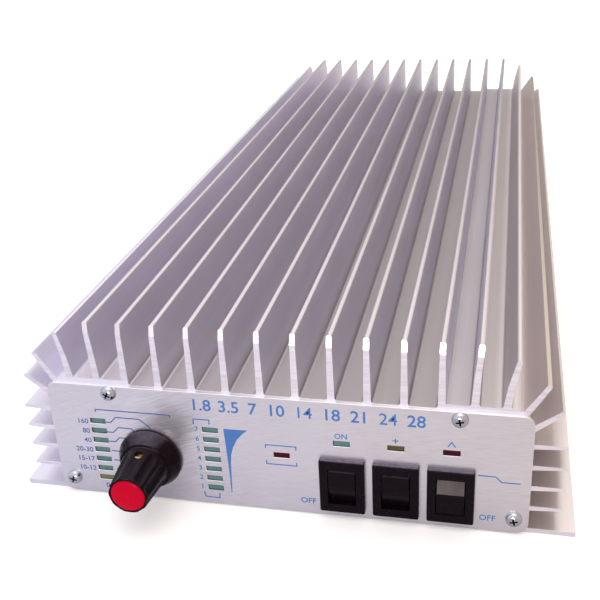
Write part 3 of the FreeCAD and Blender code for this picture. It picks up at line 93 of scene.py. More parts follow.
class AmplifierSizes(bpy.types.PropertyGroup):
    """Sizes of the pieces that are built here."""

    fin_pitch: length("Fin pitch", "From one upright fin to the next", 12.0)
    fin_count: IntProperty(name="Upright fins", description="Fins in the middle row", default=10, min=2)
    fin_root: length("Fin foot", "Thickness of an upright fin above its foot", 2.5)
    fin_tip: length("Fin tip", "Thickness of an upright fin at its top", 1.7)
    fin_fillet: length("Fin fillet", "Radius where a fin meets the floor", 0.9)
    fin_round: length("Fin rounding", "Radius on the long edges of a fin's top", 0.55)
    edge_round: length("Edge", "Small bevel on the edges of the extrusion", 0.16)
    side_pitch: length("Side fin pitch", "From one side fin to the next", 8.1)
    side_count: IntProperty(name="Side fins", description="Fins on each side wall", default=4, min=1)
    plate_edge: length("Plate edge", "Bevel on the front plate's cut edges", 0.14)
    print_depth: length("Print", "Thickness of the printed ink", 0.03)
    lamp_pitch: length("Lamp pitch", "From one lamp of a column to the next", 4.03)
    flute_depth: length("Flute depth", "Depth of the knob's flutes", 0.7)
    flute_count: IntProperty(name="Flutes", description="Flutes round the knob", default=10, min=3)
    thread_pitch: length("Socket thread", "Pitch of the thread on the coaxial sockets", 1.06)


class AmplifierColours(bpy.types.PropertyGroup):
    """Base colours of the finishes."""

    anodised: colour("Anodised body", "Satin extrusion", (0.86, 0.832, 0.928))
    sawn: colour("Sawn ends", "Freshly cut ends of the fins", (0.86, 0.85, 0.96))
    plate: colour("Front plate", "Brushed aluminium", (0.79, 0.782, 0.872))
    ink: colour("Large print", "Ink of the large figures", (0.035, 0.145, 0.42))
    fine_ink: colour("Small print", "Ink of the fine lines and small figures", (0.045, 0.095, 0.33))
    switch: colour("Switches", "Moulded nylon", (0.004, 0.0015, 0.004))
    knob: colour("Knob", "Glossy black", (0.005, 0.0015, 0.004))
    cap: colour("Knob cap", "Glossy red", (0.43, 0.0006, 0.019))
    green: colour("Green lamps", "Diffused lens", (0.085, 0.175, 0.185))
    olive: colour("Yellow lamps", "Diffused lens, unlit", (0.075, 0.075, 0.024))
    pale_olive: colour("Automatic lamp", "Diffused lens, unlit", (0.15, 0.15, 0.065))
    red: colour("Red lamps", "Diffused lens, unlit", (0.045, 0.0012, 0.007))
    floor: colour("Floor", "Pale table top", (0.94, 0.945, 0.955))
    left_light: colour("Light from the left", "Cool half of the studio", (0.96, 0.95, 1.0))
    right_light: colour("Light from the right", "Warm half of the studio", (0.83, 0.73, 0.59))


def sizes():
    return bpy.context.scene.amplifier_sizes


def colours():
    return bpy.context.scene.amplifier_colours


# ---- meshes ----

NEAR_ZERO = 1e-6


def linked(name, data):
    """A new object in the scene that holds the data."""
    made = bpy.data.objects.new(name, data)
    bpy.context.scene.collection.objects.link(made)
    return made


def solid(name, corners, faces):
    """An object from corners in millimetres, with its faces turned outwards."""
    mesh = bpy.data.meshes.new(name)
    mesh.from_pydata([Vector(corner) * MM for corner in corners], [], faces)
    work = bmesh.new()
    work.from_mesh(mesh)
    bmesh.ops.recalc_face_normals(work, faces=work.faces)
    work.to_mesh(mesh)
    work.free()
    return linked(name, mesh)


def drop(*pieces):
    for piece in pieces:
        bpy.data.objects.remove(piece)


def settle(piece):
    """Turn the modifiers' result into the piece's own plain mesh."""
    graph = bpy.context.evaluated_depsgraph_get()
    graph.update()
    mesh = bpy.data.meshes.new_from_object(
        piece.evaluated_get(graph), preserve_all_data_layers=True, depsgraph=graph
    )
    mesh.name = piece.name
    if piece.type == "MESH":
        piece.modifiers.clear()
        piece.data = mesh
        return piece
    made = linked(piece.name + "_mesh", mesh)
    drop(piece)
    return made


def bevelled(piece, width, steps=1, angle=30.0, soft=True):
    """Round or break the sharp edges; width in metres. Soft edges of several steps are shaded round."""
    soft = soft and steps > 1
    for polygon in piece.data.polygons:
        polygon.use_smooth = soft
    bevel = piece.modifiers.new("edges", "BEVEL")
    bevel.width = width
    bevel.segments = steps
    bevel.limit_method = "ANGLE"
    bevel.angle_limit = math.radians(angle)
    bevel.use_clamp_overlap = True
    bevel.harden_normals = soft
    return settle(piece)


def smoothed(piece, angle=40.0):
    piece.data.shade_smooth()
    piece.data.set_sharp_from_angle(angle=math.radians(angle))
    return piece


def mesh_of(name, sources, weld=None):
    """One mesh from several; a weld distance merges its doubles and makes its flat faces whole again."""
    work = bmesh.new()
    for source in sources:
        work.from_mesh(source)
    if weld:
        bmesh.ops.remove_doubles(work, verts=work.verts, dist=weld)
        flat = {"angle_limit": math.radians(0.5), "use_dissolve_boundaries": False}
        bmesh.ops.dissolve_limit(work, verts=work.verts, edges=work.edges, **flat)
    mesh = bpy.data.meshes.new(name)
    work.to_mesh(mesh)
    work.free()
    return mesh


def joined(name, pieces):
    """One piece from several with the same materials."""
    made = linked(name, mesh_of(name, [piece.data for piece in pieces]))
    drop(*pieces)
    return made


def copied(node, name):
    """A clean copy of a solid's mesh."""
    return linked(name, mesh_of(name, [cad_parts[node].data], weld=2e-6))


def finished(piece, looks, body, replaced=()):
    """Give a piece its finishes, its body and the solids that it stands for."""
    if looks:
        piece.data.materials.clear()
    for look in looks:
        piece.data.materials.append(finish_of(look))
    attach(piece, body)
    if replaced:
        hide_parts(*replaced)
    return piece


def prism(name, outline, front, back):
    """A closed solid from an outline in X and Z between two depths."""
    count = len(outline)
    corners = [(x, front, z) for x, z in outline] + [(x, back, z) for x, z in outline]
    faces = [tuple(range(count)), tuple(range(2 * count - 1, count - 1, -1))]
    return solid(name, corners, faces + wall_faces(count))


def wall_faces(count):
    """The faces between a front and a back outline, each of that many corners."""
    pairs = [(index, (index + 1) % count) for index in range(count)]
    return [(index, index + count, after + count, after) for index, after in pairs]


def turned(name, profile, steps=64, closed=False, shift=0.0, reach=None):
    """A solid of revolution about Y from points of radius and depth; ends at radius 0 are poles.

    With reach, a point has a third value and its radius at an angle is reach(radius, value, angle)."""
    corners, rings = [], []
    for radius, depth, *value in profile:
        if radius < NEAR_ZERO:
            rings.append([len(corners)])
            corners.append((0, depth, 0))
            continue
        rings.append(list(range(len(corners), len(corners) + steps)))
        for step in range(steps):
            angle = 2 * math.pi * (step + shift) / steps
            far = reach(radius, *value, angle) if reach else radius
            corners.append((far * math.sin(angle), depth, far * math.cos(angle)))
    if closed:
        rings.append(rings[0])
    faces = []
    for first, second in zip(rings, rings[1:]):
        for step in range(steps):
            after = (step + 1) % steps
            if len(first) == 1:
                faces.append((first[0], second[step], second[after]))
            elif len(second) == 1:
                faces.append((first[step], first[after], second[0]))
            else:
                faces.append((first[step], first[after], second[after], second[step]))
    return solid(name, corners, faces)


def moved(piece, x=0.0, y=0.0, z=0.0, turn=None):
    """Put a piece's mesh in its place, in millimetres."""
    place = Matrix.Translation(Vector((x, y, z)) * MM)
    if turn:
        place = place @ Euler(turn).to_matrix().to_4x4()
    piece.data.transform(place)
    return piece


def box(name, low, high):
    outline = [(low[0], low[2]), (high[0], low[2]), (high[0], high[2]), (low[0], high[2])]
    return prism(name, outline, low[1], high[1])


def combined(piece, other, operation):
    """Change a closed solid by another one, which goes."""
    change = piece.modifiers.new("change", "BOOLEAN")
    change.operation = operation
    change.solver = "EXACT"
    change.use_self = operation == "UNION"
    change.object = other
    settle(piece)
    drop(other)
    return piece


def carved(piece, cutter):
    """Take one closed solid away from another."""
    return combined(piece, cutter, "DIFFERENCE")


def united(name, pieces):
    """One closed solid from several that overlap."""
    first, *others = pieces
    for other in others:
        combined(first, other, "UNION")
    first.data = mesh_of(name, [first.data], weld=1e-6)
    first.name = name
    return first


# ---- node trees ----

GEOMETRY, OBJECT, MATERIAL = "NodeSocketGeometry", "NodeSocketObject", "NodeSocketMaterial"
FLOAT, INTEGER, VECTOR = "NodeSocketFloat", "NodeSocketInt", "NodeSocketVector"
WHITE, BLACK = (1.0, 1.0, 1.0), (0.0, 0.0, 0.0)


def put(tree, kind, inputs=None, **settings):
    """Add a node; each input gets a value, or the socket that feeds it."""
    made = tree.nodes.new(kind)
    for name, value in settings.items():
        setattr(made, name, value)
    for key, value in (inputs or {}).items():
        if isinstance(value, bpy.types.NodeSocket):
            tree.links.new(value, made.inputs[key])
        else:
            made.inputs[key].default_value = value
    return made


def maths(tree, operation, *values):
    return put(tree, "ShaderNodeMath", dict(enumerate(values)), operation=operation).outputs[0]


def product(tree, first, second):
    return maths(tree, "MULTIPLY", first, second)


def centred(tree, value, spread):
    """A value from 0 to 1, spread evenly about 0."""
    return maths(tree, "MULTIPLY_ADD", value, spread, -spread / 2)


def vectors(tree, operation, *values):
    """Vector maths; a length or a dot product comes out as a number."""
    made = put(tree, "ShaderNodeVectorMath", dict(enumerate(values)), operation=operation)
    return made.outputs["Value" if operation in ("LENGTH", "DOT_PRODUCT") else "Vector"]


def object_place(tree):
    return tree.nodes.new("ShaderNodeTexCoord").outputs["Object"]


def parts_of(tree, vector):
    return tuple(put(tree, "ShaderNodeSeparateXYZ", {0: vector}).outputs)


def noise(tree, place, scale, detail):
    return put(tree, "ShaderNodeTexNoise", {"Vector": place, "Scale": scale, "Detail": detail}).outputs[0]


def ray(tree, kind):
    return tree.nodes.new("ShaderNodeLightPath").outputs[kind]


def ranged(tree, value, low, high, to_low=0.0, to_high=1.0):
    made = put(tree, "ShaderNodeMapRange", {0: value, 1: low, 2: high, 3: to_low, 4: to_high})
    return made.outputs[0]


def paint(value):
    """What a colour's input takes: a socket as it is, and a colour's name or three parts as four parts."""
    if isinstance(value, bpy.types.NodeSocket):
        return value
    return (*(getattr(colours(), value) if isinstance(value, str) else value), 1.0)


def mixed(tree, factor, first, second, blend="MIX"):
    """Mix two colours."""
    inputs = {0: factor, 6: paint(first), 7: paint(second)}
    return put(tree, "ShaderNodeMix", inputs, data_type="RGBA", blend_type=blend).outputs[2]


def filtered(tree, first, second):
    """One colour times another."""
    return mixed(tree, 1.0, first, second, "MULTIPLY")


def tinted(tree, base, *tints):
    """A colour times one or two numbers."""
    last = product(tree, *tints) if len(tints) > 1 else tints[0]
    return filtered(tree, base, put(tree, "ShaderNodeCombineColor", {0: last, 1: last, 2: last}).outputs[0])


def socket_of(tree, label, kind, way="INPUT"):
    return tree.interface.new_socket(name=label, in_out=way, socket_type=kind)


# ---- geometry trees ----


def row_of_copies(tree, given):
    """A piece repeated along a line."""
    steps = {"Count": given["Count"], "Offset": given["Step"]}
    line = put(tree, "GeometryNodeMeshLine", steps, mode="OFFSET")
    return {"Points": line.outputs[0], "Instance": given["Piece"]}


def screws_at_points(tree, given):
    """A screw at each point, turned about its own axis by a seeded angle."""
    screw = put(tree, "GeometryNodeObjectInfo", {"Object": given["Screw"]})
    spread = {2: 0.0, 3: math.pi / 2, "Seed": given["Seed"]}
    angle = put(tree, "FunctionNodeRandomValue", spread, data_type="FLOAT")
    roll = put(tree, "FunctionNodeAxisAngleToRotation", {"Axis": (0, 0, 1), "Angle": angle.outputs[1]})
    facing = put(tree, "FunctionNodeEulerToRotation", {0: given["Facing"]})
    both = {0: facing.outputs[0], 1: roll.outputs[0]}
    turn = put(tree, "FunctionNodeRotateRotation", both, rotation_space="LOCAL")
    return {"Points": given["Points"], "Instance": screw.outputs["Geometry"], "Rotation": turn.outputs[0]}


GROWERS = {
    "Row of copies": (row_of_copies, {"Piece": GEOMETRY, "Count": INTEGER, "Step": VECTOR}),
    "Screws at points": (
        screws_at_points,
        {"Points": GEOMETRY, "Screw": OBJECT, "Facing": VECTOR, "Seed": INTEGER},
    ),
}


def growing_tree(name):
    """A geometry tree that makes its copies real and gives them their finish."""
    make, inputs = GROWERS[name]
    tree = bpy.data.node_groups.new(name, "GeometryNodeTree")
    for label, kind in inputs.items():
        socket_of(tree, label, kind)
    socket_of(tree, "Finish", MATERIAL)
    socket_of(tree, "Result", GEOMETRY, "OUTPUT")
    given = tree.nodes.new("NodeGroupInput").outputs
    copies = put(tree, "GeometryNodeInstanceOnPoints", make(tree, given))
    real = put(tree, "GeometryNodeRealizeInstances", {0: copies.outputs[0]})
    last = put(tree, "GeometryNodeSetMaterial", {"Geometry": real.outputs[0], "Material": given["Finish"]})
    tree.links.new(last.outputs[0], tree.nodes.new("NodeGroupOutput").inputs[0])
    return tree


def grown(piece, name, **values):
    """Run a geometry tree on a piece and keep the result as a plain mesh."""
    modifier = piece.modifiers.new("nodes", "NODES")
    modifier.node_group = bpy.data.node_groups.get(name) or growing_tree(name)
    sockets = modifier.node_group.interface.items_tree
    inputs = {item.name: item.identifier for item in sockets if item.in_out == "INPUT"}
    for label, value in values.items():
        modifier[inputs[label]] = value
    return settle(piece)


def row(piece, count, step, look):
    """A row of copies of a piece; count times step, in metres."""
    return grown(piece, "Row of copies", Count=count, Step=step, Finish=finish_of(look))


# ---- shader groups ----


def drawn_lines(tree, given):
    """Fine lines of drawing, sawing or brushing, as a tint and a height."""
    place = vectors(tree, "MULTIPLY", object_place(tree), given["Frequency"])
    fine = noise(tree, place, 1.0, 3.0)
    wide_place = put(tree, "ShaderNodeVectorMath", {0: place, "Scale": 0.17}, operation="SCALE").outputs[0]
    wide = noise(tree, wide_place, 1.0, 2.0)
    both = put(tree, "ShaderNodeMix", {0: given["Streak"], 2: fine, 3: wide}).outputs[0]
    tint = maths(tree, "MULTIPLY_ADD", centred(tree, both, 4.0), given["Contrast"], 1.0)
    return {"Tint": tint, "Height": fine}


def swirled_lines(tree, given):
    """Brushing in wide arcs about a far point, which shows in patches over the straight grain."""
    place = object_place(tree)
    x, _, z = parts_of(tree, vectors(tree, "SUBTRACT", place, given["Centre"]))
    away = vectors(tree, "LENGTH", put(tree, "ShaderNodeCombineXYZ", {0: x, 1: z}).outputs[0])
    bearing = maths(tree, "ARCTAN2", z, x)
    polar = {0: product(tree, away, given["Across"]), 1: product(tree, bearing, given["Along"])}
    fine = noise(tree, put(tree, "ShaderNodeCombineXYZ", polar).outputs[0], 1.0, 4.0)
    patch = ranged(tree, noise(tree, place, 26.0, 1.0), 0.36, 0.60, 0.35)
    far = vectors(tree, "LENGTH", vectors(tree, "SUBTRACT", place, given["Spot"]))
    shown = product(tree, patch, ranged(tree, far, 0.010, 0.034, 1.0, 0.16))
    amount = product(tree, shown, given["Contrast"])
    tint = maths(tree, "MULTIPLY_ADD", centred(tree, fine, 4.0), amount, 1.0)
    return {"Tint": tint, "Height": fine, "Patch": shown}


def handled(tree, given):
    """Smudges and faint specks of handling: a tint for the colour and a change of roughness."""
    place = object_place(tree)
    scale = maths(tree, "DIVIDE", 1.0, given["Size"])
    cloud = centred(tree, noise(tree, place, scale, 4.0), 2.0)
    dots = noise(tree, place, product(tree, scale, 14.0), 1.0)
    speck = product(tree, ranged(tree, dots, 0.70, 0.76), given["Specks"])
    tint = maths(tree, "MULTIPLY_ADD", cloud, given["Smudge"], 1.0)
    return {"Tint": tint, "Roughness": product(tree, cloud, given["Smudge"]), "Speck": speck}


def settled_dirt_and_sheen(tree, given):
    """Fine settled dirt and a painted sheen where a piece faces up, from a level upwards."""
    up = parts_of(tree, tree.nodes.new("ShaderNodeNewGeometry").outputs["Normal"])[2]
    place = object_place(tree)
    cloud = ranged(tree, noise(tree, place, 700.0, 3.0), 0.3, 0.7, 0.6)
    lying = product(tree, ranged(tree, up, 0.68, 0.97), cloud)
    height = maths(tree, "SUBTRACT", parts_of(tree, place)[2], given["Above"])
    lying = product(tree, lying, ranged(tree, height, 0.0, 0.001))
    return {"Dust": product(tree, lying, given["Amount"])}


EFFECTS = {
    "Drawn lines": (drawn_lines, {"Frequency": (1000, 1000, 4), "Contrast": 0.05, "Streak": 0.4}),
    "Swirled lines": (
        swirled_lines,
        {"Centre": (0, 0, 0), "Spot": (0, 0, 0), "Across": 900.0, "Along": 6.0, "Contrast": 0.1},
    ),
    "Handled": (handled, {"Size": 0.02, "Smudge": 0.05, "Specks": 0.0}),
    "Settled dust": (settled_dirt_and_sheen, {"Amount": 0.3, "Above": -1.0}),
}


def effect_group(name):
    """One of the shared shader groups, with its inputs and outputs."""
    make, inputs = EFFECTS[name]
    tree = bpy.data.node_groups.new(name, "ShaderNodeTree")
    for label, value in inputs.items():
        socket_of(tree, label, VECTOR if isinstance(value, tuple) else FLOAT).default_value = value
    made = make(tree, tree.nodes.new("NodeGroupInput").outputs)
    for label in made:
        socket_of(tree, label, FLOAT, "OUTPUT")
    out = tree.nodes.new("NodeGroupOutput").inputs
    for label, value in made.items():
        tree.links.new(value, out[label])
    return tree


def effect(tree, name, **values):
    """Place one of the shared shader groups in a material."""
    group = bpy.data.node_groups.get(name) or effect_group(name)
    return put(tree, "ShaderNodeGroup", values, node_tree=group).outputs


# ---- finishes ----

# purple grey of settled dirt and of the painted sheen on faces that look up
DIRT_AND_SHEEN = (0.42, 0.37, 0.50)
# colour of the painted shade in a screw's cross
RECESS_SHADE = (0.02, 0.022, 0.04)
PAINTED_SHADE_STARTS, PAINTED_SHADE_ENDS = (0.0455, 0.0462), (0.0468, 0.0525)  # heights where the painted shade on the channels' floors comes and goes


def blank_finish(name, **constants):
    """A material with one Principled shader, and the constants set on it."""
    finish = bpy.data.materials.new(name)
    finish.use_nodes = True
    tree = finish.node_tree
    tree.nodes.clear()
    constants = {label.replace("_", " "): value for label, value in constants.items()}
    shader = put(tree, "ShaderNodeBsdfPrincipled", constants)
    put(tree, "ShaderNodeOutputMaterial", {"Surface": shader.outputs[0]})
    return finish, tree


def fed(finish, **sockets):
    """Feed the inputs of a finish's shader."""
    tree = finish.node_tree
    for label, socket in sockets.items():
        tree.links.new(socket, tree.nodes["Principled BSDF"].inputs[label.replace("_", " ")])
    return finish


def surfaced(finish, base, rough, height, bump):
    """Feed a finish its colour, its roughness and the height of its fine relief."""
    relief = put(finish.node_tree, "ShaderNodeBump", {"Height": height, "Distance": bump}).outputs[0]
    return fed(finish, Base_Color=base, Roughness=rough, Normal=relief)


def metal(name, base, frequency, roughness, contrast=0.05, bump=4e-6, painted_light_and_shade=None):
    """Metal with lines along one way, faint smudges and a roughness that follows both."""
    finish, tree = blank_finish(name, Metallic=1.0)
    lines = effect(tree, "Drawn lines", Frequency=frequency, Contrast=contrast)
    marks = effect(tree, "Handled", Size=0.035, Smudge=0.04)
    clean = tinted(tree, base, lines["Tint"], marks["Tint"])
    along = maths(tree, "MULTIPLY_ADD", lines["Height"], 0.10, roughness - 0.05)
    rough = maths(tree, "ADD", along, marks["Roughness"])
    # a last argument, if given, paints light or shade over the colour
    return surfaced(finish, painted_light_and_shade(tree, clean) if painted_light_and_shade else clean, rough, lines["Height"], bump)


def moulded(
    name, base, roughness, grain=1800.0, bump=6e-6, smudge=0.12, specks=0.15, shine=0.5, dirt_and_sheen=0.1, above=-1.0
):
    """Moulded plastic or rubber: a fine skin, smudges, and on faces that look up a little settled dirt with a
    painted sheen.
    """
    finish, tree = blank_finish(name, Specular_IOR_Level=shine)
    skin = effect(tree, "Drawn lines", Frequency=(grain, grain, grain), Contrast=0.08, Streak=0.2)
    marks = effect(tree, "Handled", Size=0.008, Smudge=smudge, Specks=specks)
    lying = effect(tree, "Settled dust", Amount=dirt_and_sheen, Above=above)["Dust"]
    covered = maths(tree, "MAXIMUM", lying, product(tree, marks["Speck"], 0.25))
    dirty_and_sheened = mixed(tree, covered, tinted(tree, base, skin["Tint"], marks["Tint"]), DIRT_AND_SHEEN)
    marked = maths(tree, "ADD", product(tree, marks["Speck"], 0.3), marks["Roughness"])
    return surfaced(finish, dirty_and_sheened, maths(tree, "ADD", marked, roughness), skin["Height"], bump)


def coated(name, base, roughness, frequency, contrast, streak, size, smudge, bump, **constants):
    """A surface with a fine skin and faint clouds of handling."""
    finish, tree = blank_finish(name, **constants)
    skin = effect(tree, "Drawn lines", Frequency=frequency, Contrast=contrast, Streak=streak)
    marks = effect(tree, "Handled", Size=size, Smudge=smudge)
    rough = maths(tree, "ADD", roughness, marks["Roughness"])
    return surfaced(finish, tinted(tree, base, skin["Tint"], marks["Tint"]), rough, skin["Height"], bump)


def printed_ink(name, base):
    """Screen-printed ink that lets the brushing through a little."""
    lines = {"frequency": (20, 900, 1900), "contrast": 0.16, "streak": 0.3}
    return coated(name, base, 0.45, **lines, size=0.004, smudge=0.12, bump=3e-6)


def lens(name, base):
    """A diffused lamp, a little cloudy."""
    skin = {"frequency": (2500, 2500, 2500), "contrast": 0.05, "streak": 0.2}
    return coated(name, base, 0.38, **skin, size=0.0025, smudge=0.22, bump=4e-6, Specular_IOR_Level=0.10)


def wound_wire(name, base, turns):
    """Enamelled wire wound round a core: rounded ribs and a gloss."""
    ribs = {"frequency": (turns, turns, 6), "contrast": 0.25, "streak": 0.1}
    gloss = {"Metallic": 0.6, "Coat_Weight": 0.6, "Coat_Roughness": 0.1}
    return coated(name, base, 0.3, **ribs, size=0.006, smudge=0.1, bump=2e-4, **gloss)


def channel_painted_light_and_shade(tree, clean):
    """Painted shade on the channels' floors, darker towards the right, and painted warm light on the fins at
    the right.
    """
    x, _, z = parts_of(tree, object_place(tree))
    # painted shade: greys the floors of the channels between the fins
    low = product(tree, ranged(tree, z, *PAINTED_SHADE_STARTS), ranged(tree, z, *PAINTED_SHADE_ENDS, 1.0, 0.0))
    between = ranged(tree, maths(tree, "ABSOLUTE", x), (WALL - 12.0) * MM, (WALL - 8.0) * MM, 1.0, 0.0)
    grey = mixed(tree, ranged(tree, x, -0.06, 0.03), (0.74, 0.73, 0.68), (0.58, 0.57, 0.52))
    painted_light_and_shade = mixed(tree, product(tree, low, between), WHITE, grey)
    # painted warm light on the fins at the right
    warm = mixed(tree, ranged(tree, x, 0.066, 0.074), WHITE, (0.885, 0.86, 0.795))
    return filtered(tree, filtered(tree, clean, painted_light_and_shade), warm)


def recess_shade(tree, clean):
    """Painted shade: the cross in a screw's head is coloured dull and dark."""
    deep = put(tree, "ShaderNodeAttribute", attribute_name="recess").outputs["Fac"]
    return mixed(tree, deep, clean, RECESS_SHADE)


def brushed_plate():
    """The front plate: straight hairlines, and wide arcs of a hand-held brush over its left half."""
    finish, tree = blank_finish("Brushed front plate", Metallic=1.0)
    straight = effect(tree, "Drawn lines", Frequency=(200, 900, 2500), Contrast=0.06, Streak=0.12)
    places = {"Centre": (0.12, 0.0, -0.40), "Spot": (-0.030, FACE * MM, 0.034)}
    arcs = effect(tree, "Swirled lines", **places, Across=1600.0, Along=60.0, Contrast=0.26)
    marks = effect(tree, "Handled", Size=0.05, Smudge=0.05)
    both = product(tree, straight["Tint"], arcs["Tint"])
    height = maths(tree, "MULTIPLY_ADD", arcs["Height"], arcs["Patch"], straight["Height"])
    along = maths(tree, "MULTIPLY_ADD", straight["Height"], 0.06, 0.31)
    rough = maths(tree, "ADD", along, marks["Roughness"])
    return surfaced(finish, tinted(tree, "plate", both, marks["Tint"]), rough, height, 2.5e-6)


def circuit_board():
    """Green solder mask over copper tracks."""
    finish, tree = blank_finish("Circuit board", Coat_Weight=0.4, Coat_Roughness=0.15)
    cells = {"Vector": object_place(tree), "Scale": 150.0, "Randomness": 0.6}
    cells = put(tree, "ShaderNodeTexVoronoi", cells, distance="CHEBYCHEV")
    tracks = ranged(tree, cells.outputs["Distance"], 0.34, 0.40)
    marks = effect(tree, "Handled", Size=0.01, Smudge=0.10)
    mask = mixed(tree, tracks, (0.012, 0.10, 0.035), (0.03, 0.20, 0.07))
    rough = maths(tree, "ADD", 0.35, marks["Roughness"])
    return surfaced(finish, tinted(tree, mask, marks["Tint"]), rough, tracks, 3e-5)


FINISHES = {
    # the anodised body gets painted shade in its channels and painted warm light at the right
    "anodised": lambda: metal(
        "Satin anodised aluminium", "anodised", (1400, 5, 1400), 0.46, bump=3e-6, painted_light_and_shade=channel_painted_light_and_shade
    ),
    "sawn": lambda: metal("Sawn aluminium", "sawn", (25, 25, 1700), 0.42, contrast=0.18, bump=9e-6),
    "sawn bevel": lambda: metal("Milled aluminium", (0.97, 0.91, 0.97), (900, 20, 20), 0.24, contrast=0.04),
    "brushed plate": brushed_plate,
    "cut edge": lambda: metal("Cut edge", (0.95, 0.94, 0.95), (60, 900, 60), 0.32, contrast=0.04),
    "print": lambda: printed_ink("Blue print", "ink"),
    "fine print": lambda: printed_ink("Fine blue print", "fine_ink"),
    "plain plate": lambda: metal("Mill finish plate", (0.74, 0.73, 0.75), (1200, 900, 14), 0.36),
    # the bright screws get painted shade in their crosses
    "bright screw": lambda: metal(
        "Bright plated screw", (0.52, 0.55, 0.62), (500, 500, 500), 0.12, 0.03, bump=1e-6, painted_light_and_shade=recess_shade
    ),
    "zinc screw": lambda: metal("Zinc plated screw", (0.66, 0.65, 0.62), (600, 600, 600), 0.32),
    "turned steel": lambda: metal("Turned steel", (0.60, 0.60, 0.62), (40, 1600, 40), 0.28),
    "brass": lambda: metal("Turned brass", (0.80, 0.55, 0.26), (700, 700, 700), 0.22, contrast=0.08),
    "tinned": lambda: metal("Tinned metal", (0.76, 0.76, 0.75), (500, 500, 500), 0.30, contrast=0.08),
    "nickel": lambda: metal("Nickel plate", (0.74, 0.72, 0.68), (300, 300, 300), 0.16, contrast=0.03),
    "copper": lambda: metal("Copper", (0.86, 0.45, 0.28), (700, 700, 700), 0.25, contrast=0.08),
    # the switches' upward faces above 20 mm get a painted sheen along with settled dirt
    "switch": lambda: moulded(
        "Black nylon", "switch", 0.22, bump=4e-6, specks=0.2, shine=0.10, dirt_and_sheen=0.42, above=0.020
    ),
    "knob": lambda: moulded("Black knob", "knob", 0.20, grain=900.0, bump=1.5e-6, shine=0.08, dirt_and_sheen=0.02),
    # the skirt's upward faces get a painted sheen with a little settled dirt
    "knob skirt": lambda: moulded(
        "Black knob skirt", "knob", 0.15, grain=900.0, bump=1.5e-6, specks=0.1, shine=0.08, dirt_and_sheen=0.24
    ),
    "cap": lambda: moulded("Red cap", "cap", 0.16, grain=500.0, bump=8e-6, smudge=0.10, shine=0.05, dirt_and_sheen=0.0),
    "green lens": lambda: lens("Green lamp", "green"),
    "yellow lens": lambda: lens("Yellow lamp", "olive"),
    "pale lens": lambda: lens("Automatic lamp", "pale_olive"),
    "red lens": lambda: lens("Red lamp", "red"),
    "board": circuit_board,
    "relay": lambda: moulded("Relay case", (0.045, 0.10, 0.30), 0.28),
    "ferrite": lambda: moulded("Ferrite", (0.045, 0.042, 0.042), 0.55, grain=2600.0, bump=2e-5),
    "coil": lambda: wound_wire("Wound coil", (0.55, 0.17, 0.07), 260.0),
    "ceramic": lambda: moulded("Ceramic", (0.76, 0.74, 0.69), 0.35, specks=0.0),
    "sleeve": lambda: moulded("Capacitor sleeve", (0.02, 0.03, 0.11), 0.22, specks=0.0),
    "fuse": lambda: moulded("Fuse body", (0.65, 0.16, 0.02), 0.20, specks=0.0),
    "insulator": lambda: moulded("Socket insulator", (0.80, 0.79, 0.75), 0.42, specks=0.1),
    "rubber": lambda: moulded("Black rubber", (0.020, 0.020, 0.021), 0.60, bump=1.5e-5),
    "ribbon": lambda: wound_wire("Ribbon cable", (0.22, 0.23, 0.25), 900.0),
}
made_finishes = {}


def finish_of(look):
    """The finish of that name, made at its first use."""
    if look not in made_finishes:
        made_finishes[look] = FINISHES[look]()
    return made_finishes[look]


# ---- the finned body ----

CHANNEL_FLOOR = 46.4
OUTER_FLOOR = 48.0
TIP_BEVEL = (3.8, 0.9)  # height of the bevel at the front of a fin's top, and how far back it leans
FIN_SINK = 1.2  # how deep a fin's foot goes into the web or the wall
SLANTED_TIP, SLANTED_ROOT = 1.6, 2.2  # thickness of the slanted corner fins
SIDE_REACH = 12.0  # how far the side fins stand out from the wall


def arc(centre, radius, start, end, steps):
    """Points on an arc, angles in degrees."""
    points = []
    for step in range(steps + 1):
        angle = math.radians(start + (end - start) * step / steps)
        points.append((centre[0] + radius * math.cos(angle), centre[1] + radius * math.sin(angle)))
    return points


def fin_outline(root, tip, tip_width, bevel_z=None, middle=None):
    """Right side up and left side down of a fin with filleted feet, about its centre line."""
    half, tip_half = sizes().fin_root / MM / 2, tip_width / 2
    fillet, soft = sizes().fin_fillet / MM, sizes().fin_round / MM
    floor = root[1]
    sides = [(root[0], half + fillet, floor - FIN_SINK)]
    sides += [(root[0], x, z) for x, z in arc((half + fillet, floor + fillet), fillet, 270, 180, 8)]
    stations = [middle] if middle else []
    if bevel_z:
        share = (bevel_z - floor) / (tip[1] - floor)
        stations.append((root[0] + (tip[0] - root[0]) * share, bevel_z))
    for x, z in stations:
        share = (z - floor) / (tip[1] - floor)
        sides.append((x, half + (tip_half - half) * share, z))
    sides += [(tip[0], x, z) for x, z in arc((tip_half - soft, tip[1] - soft), soft, 0, 90, 3)]
    return [(x + thick, z) for x, thick, z in sides] + [(x - thick, z) for x, thick, z in reversed(sides)]


def fin(name, outline, bevel_z=None):
    """A fin from end to end of the body; above bevel_z its front leans back."""
    if not bevel_z:
        return prism(name, outline, FRONT, BACK)
    count = len(outline)
    slope = TIP_BEVEL[1] / TIP_BEVEL[0]
    front = [(x, FRONT + max(0.0, z - bevel_z) * slope, z) for x, z in outline]
    back = [(x, BACK, z) for x, z in outline]
    upper = tuple(index for index in range(count) if outline[index][1] > bevel_z - NEAR_ZERO)
    lower = tuple(index for index in range(count) if outline[index][1] < bevel_z + NEAR_ZERO)
    faces = [tuple(range(2 * count - 1, count - 1, -1)), *wall_faces(count), upper, lower]
    return solid(name, front + back, faces)


def mirrored(outline):
    return [(-x, z) for x, z in reversed(outline)]


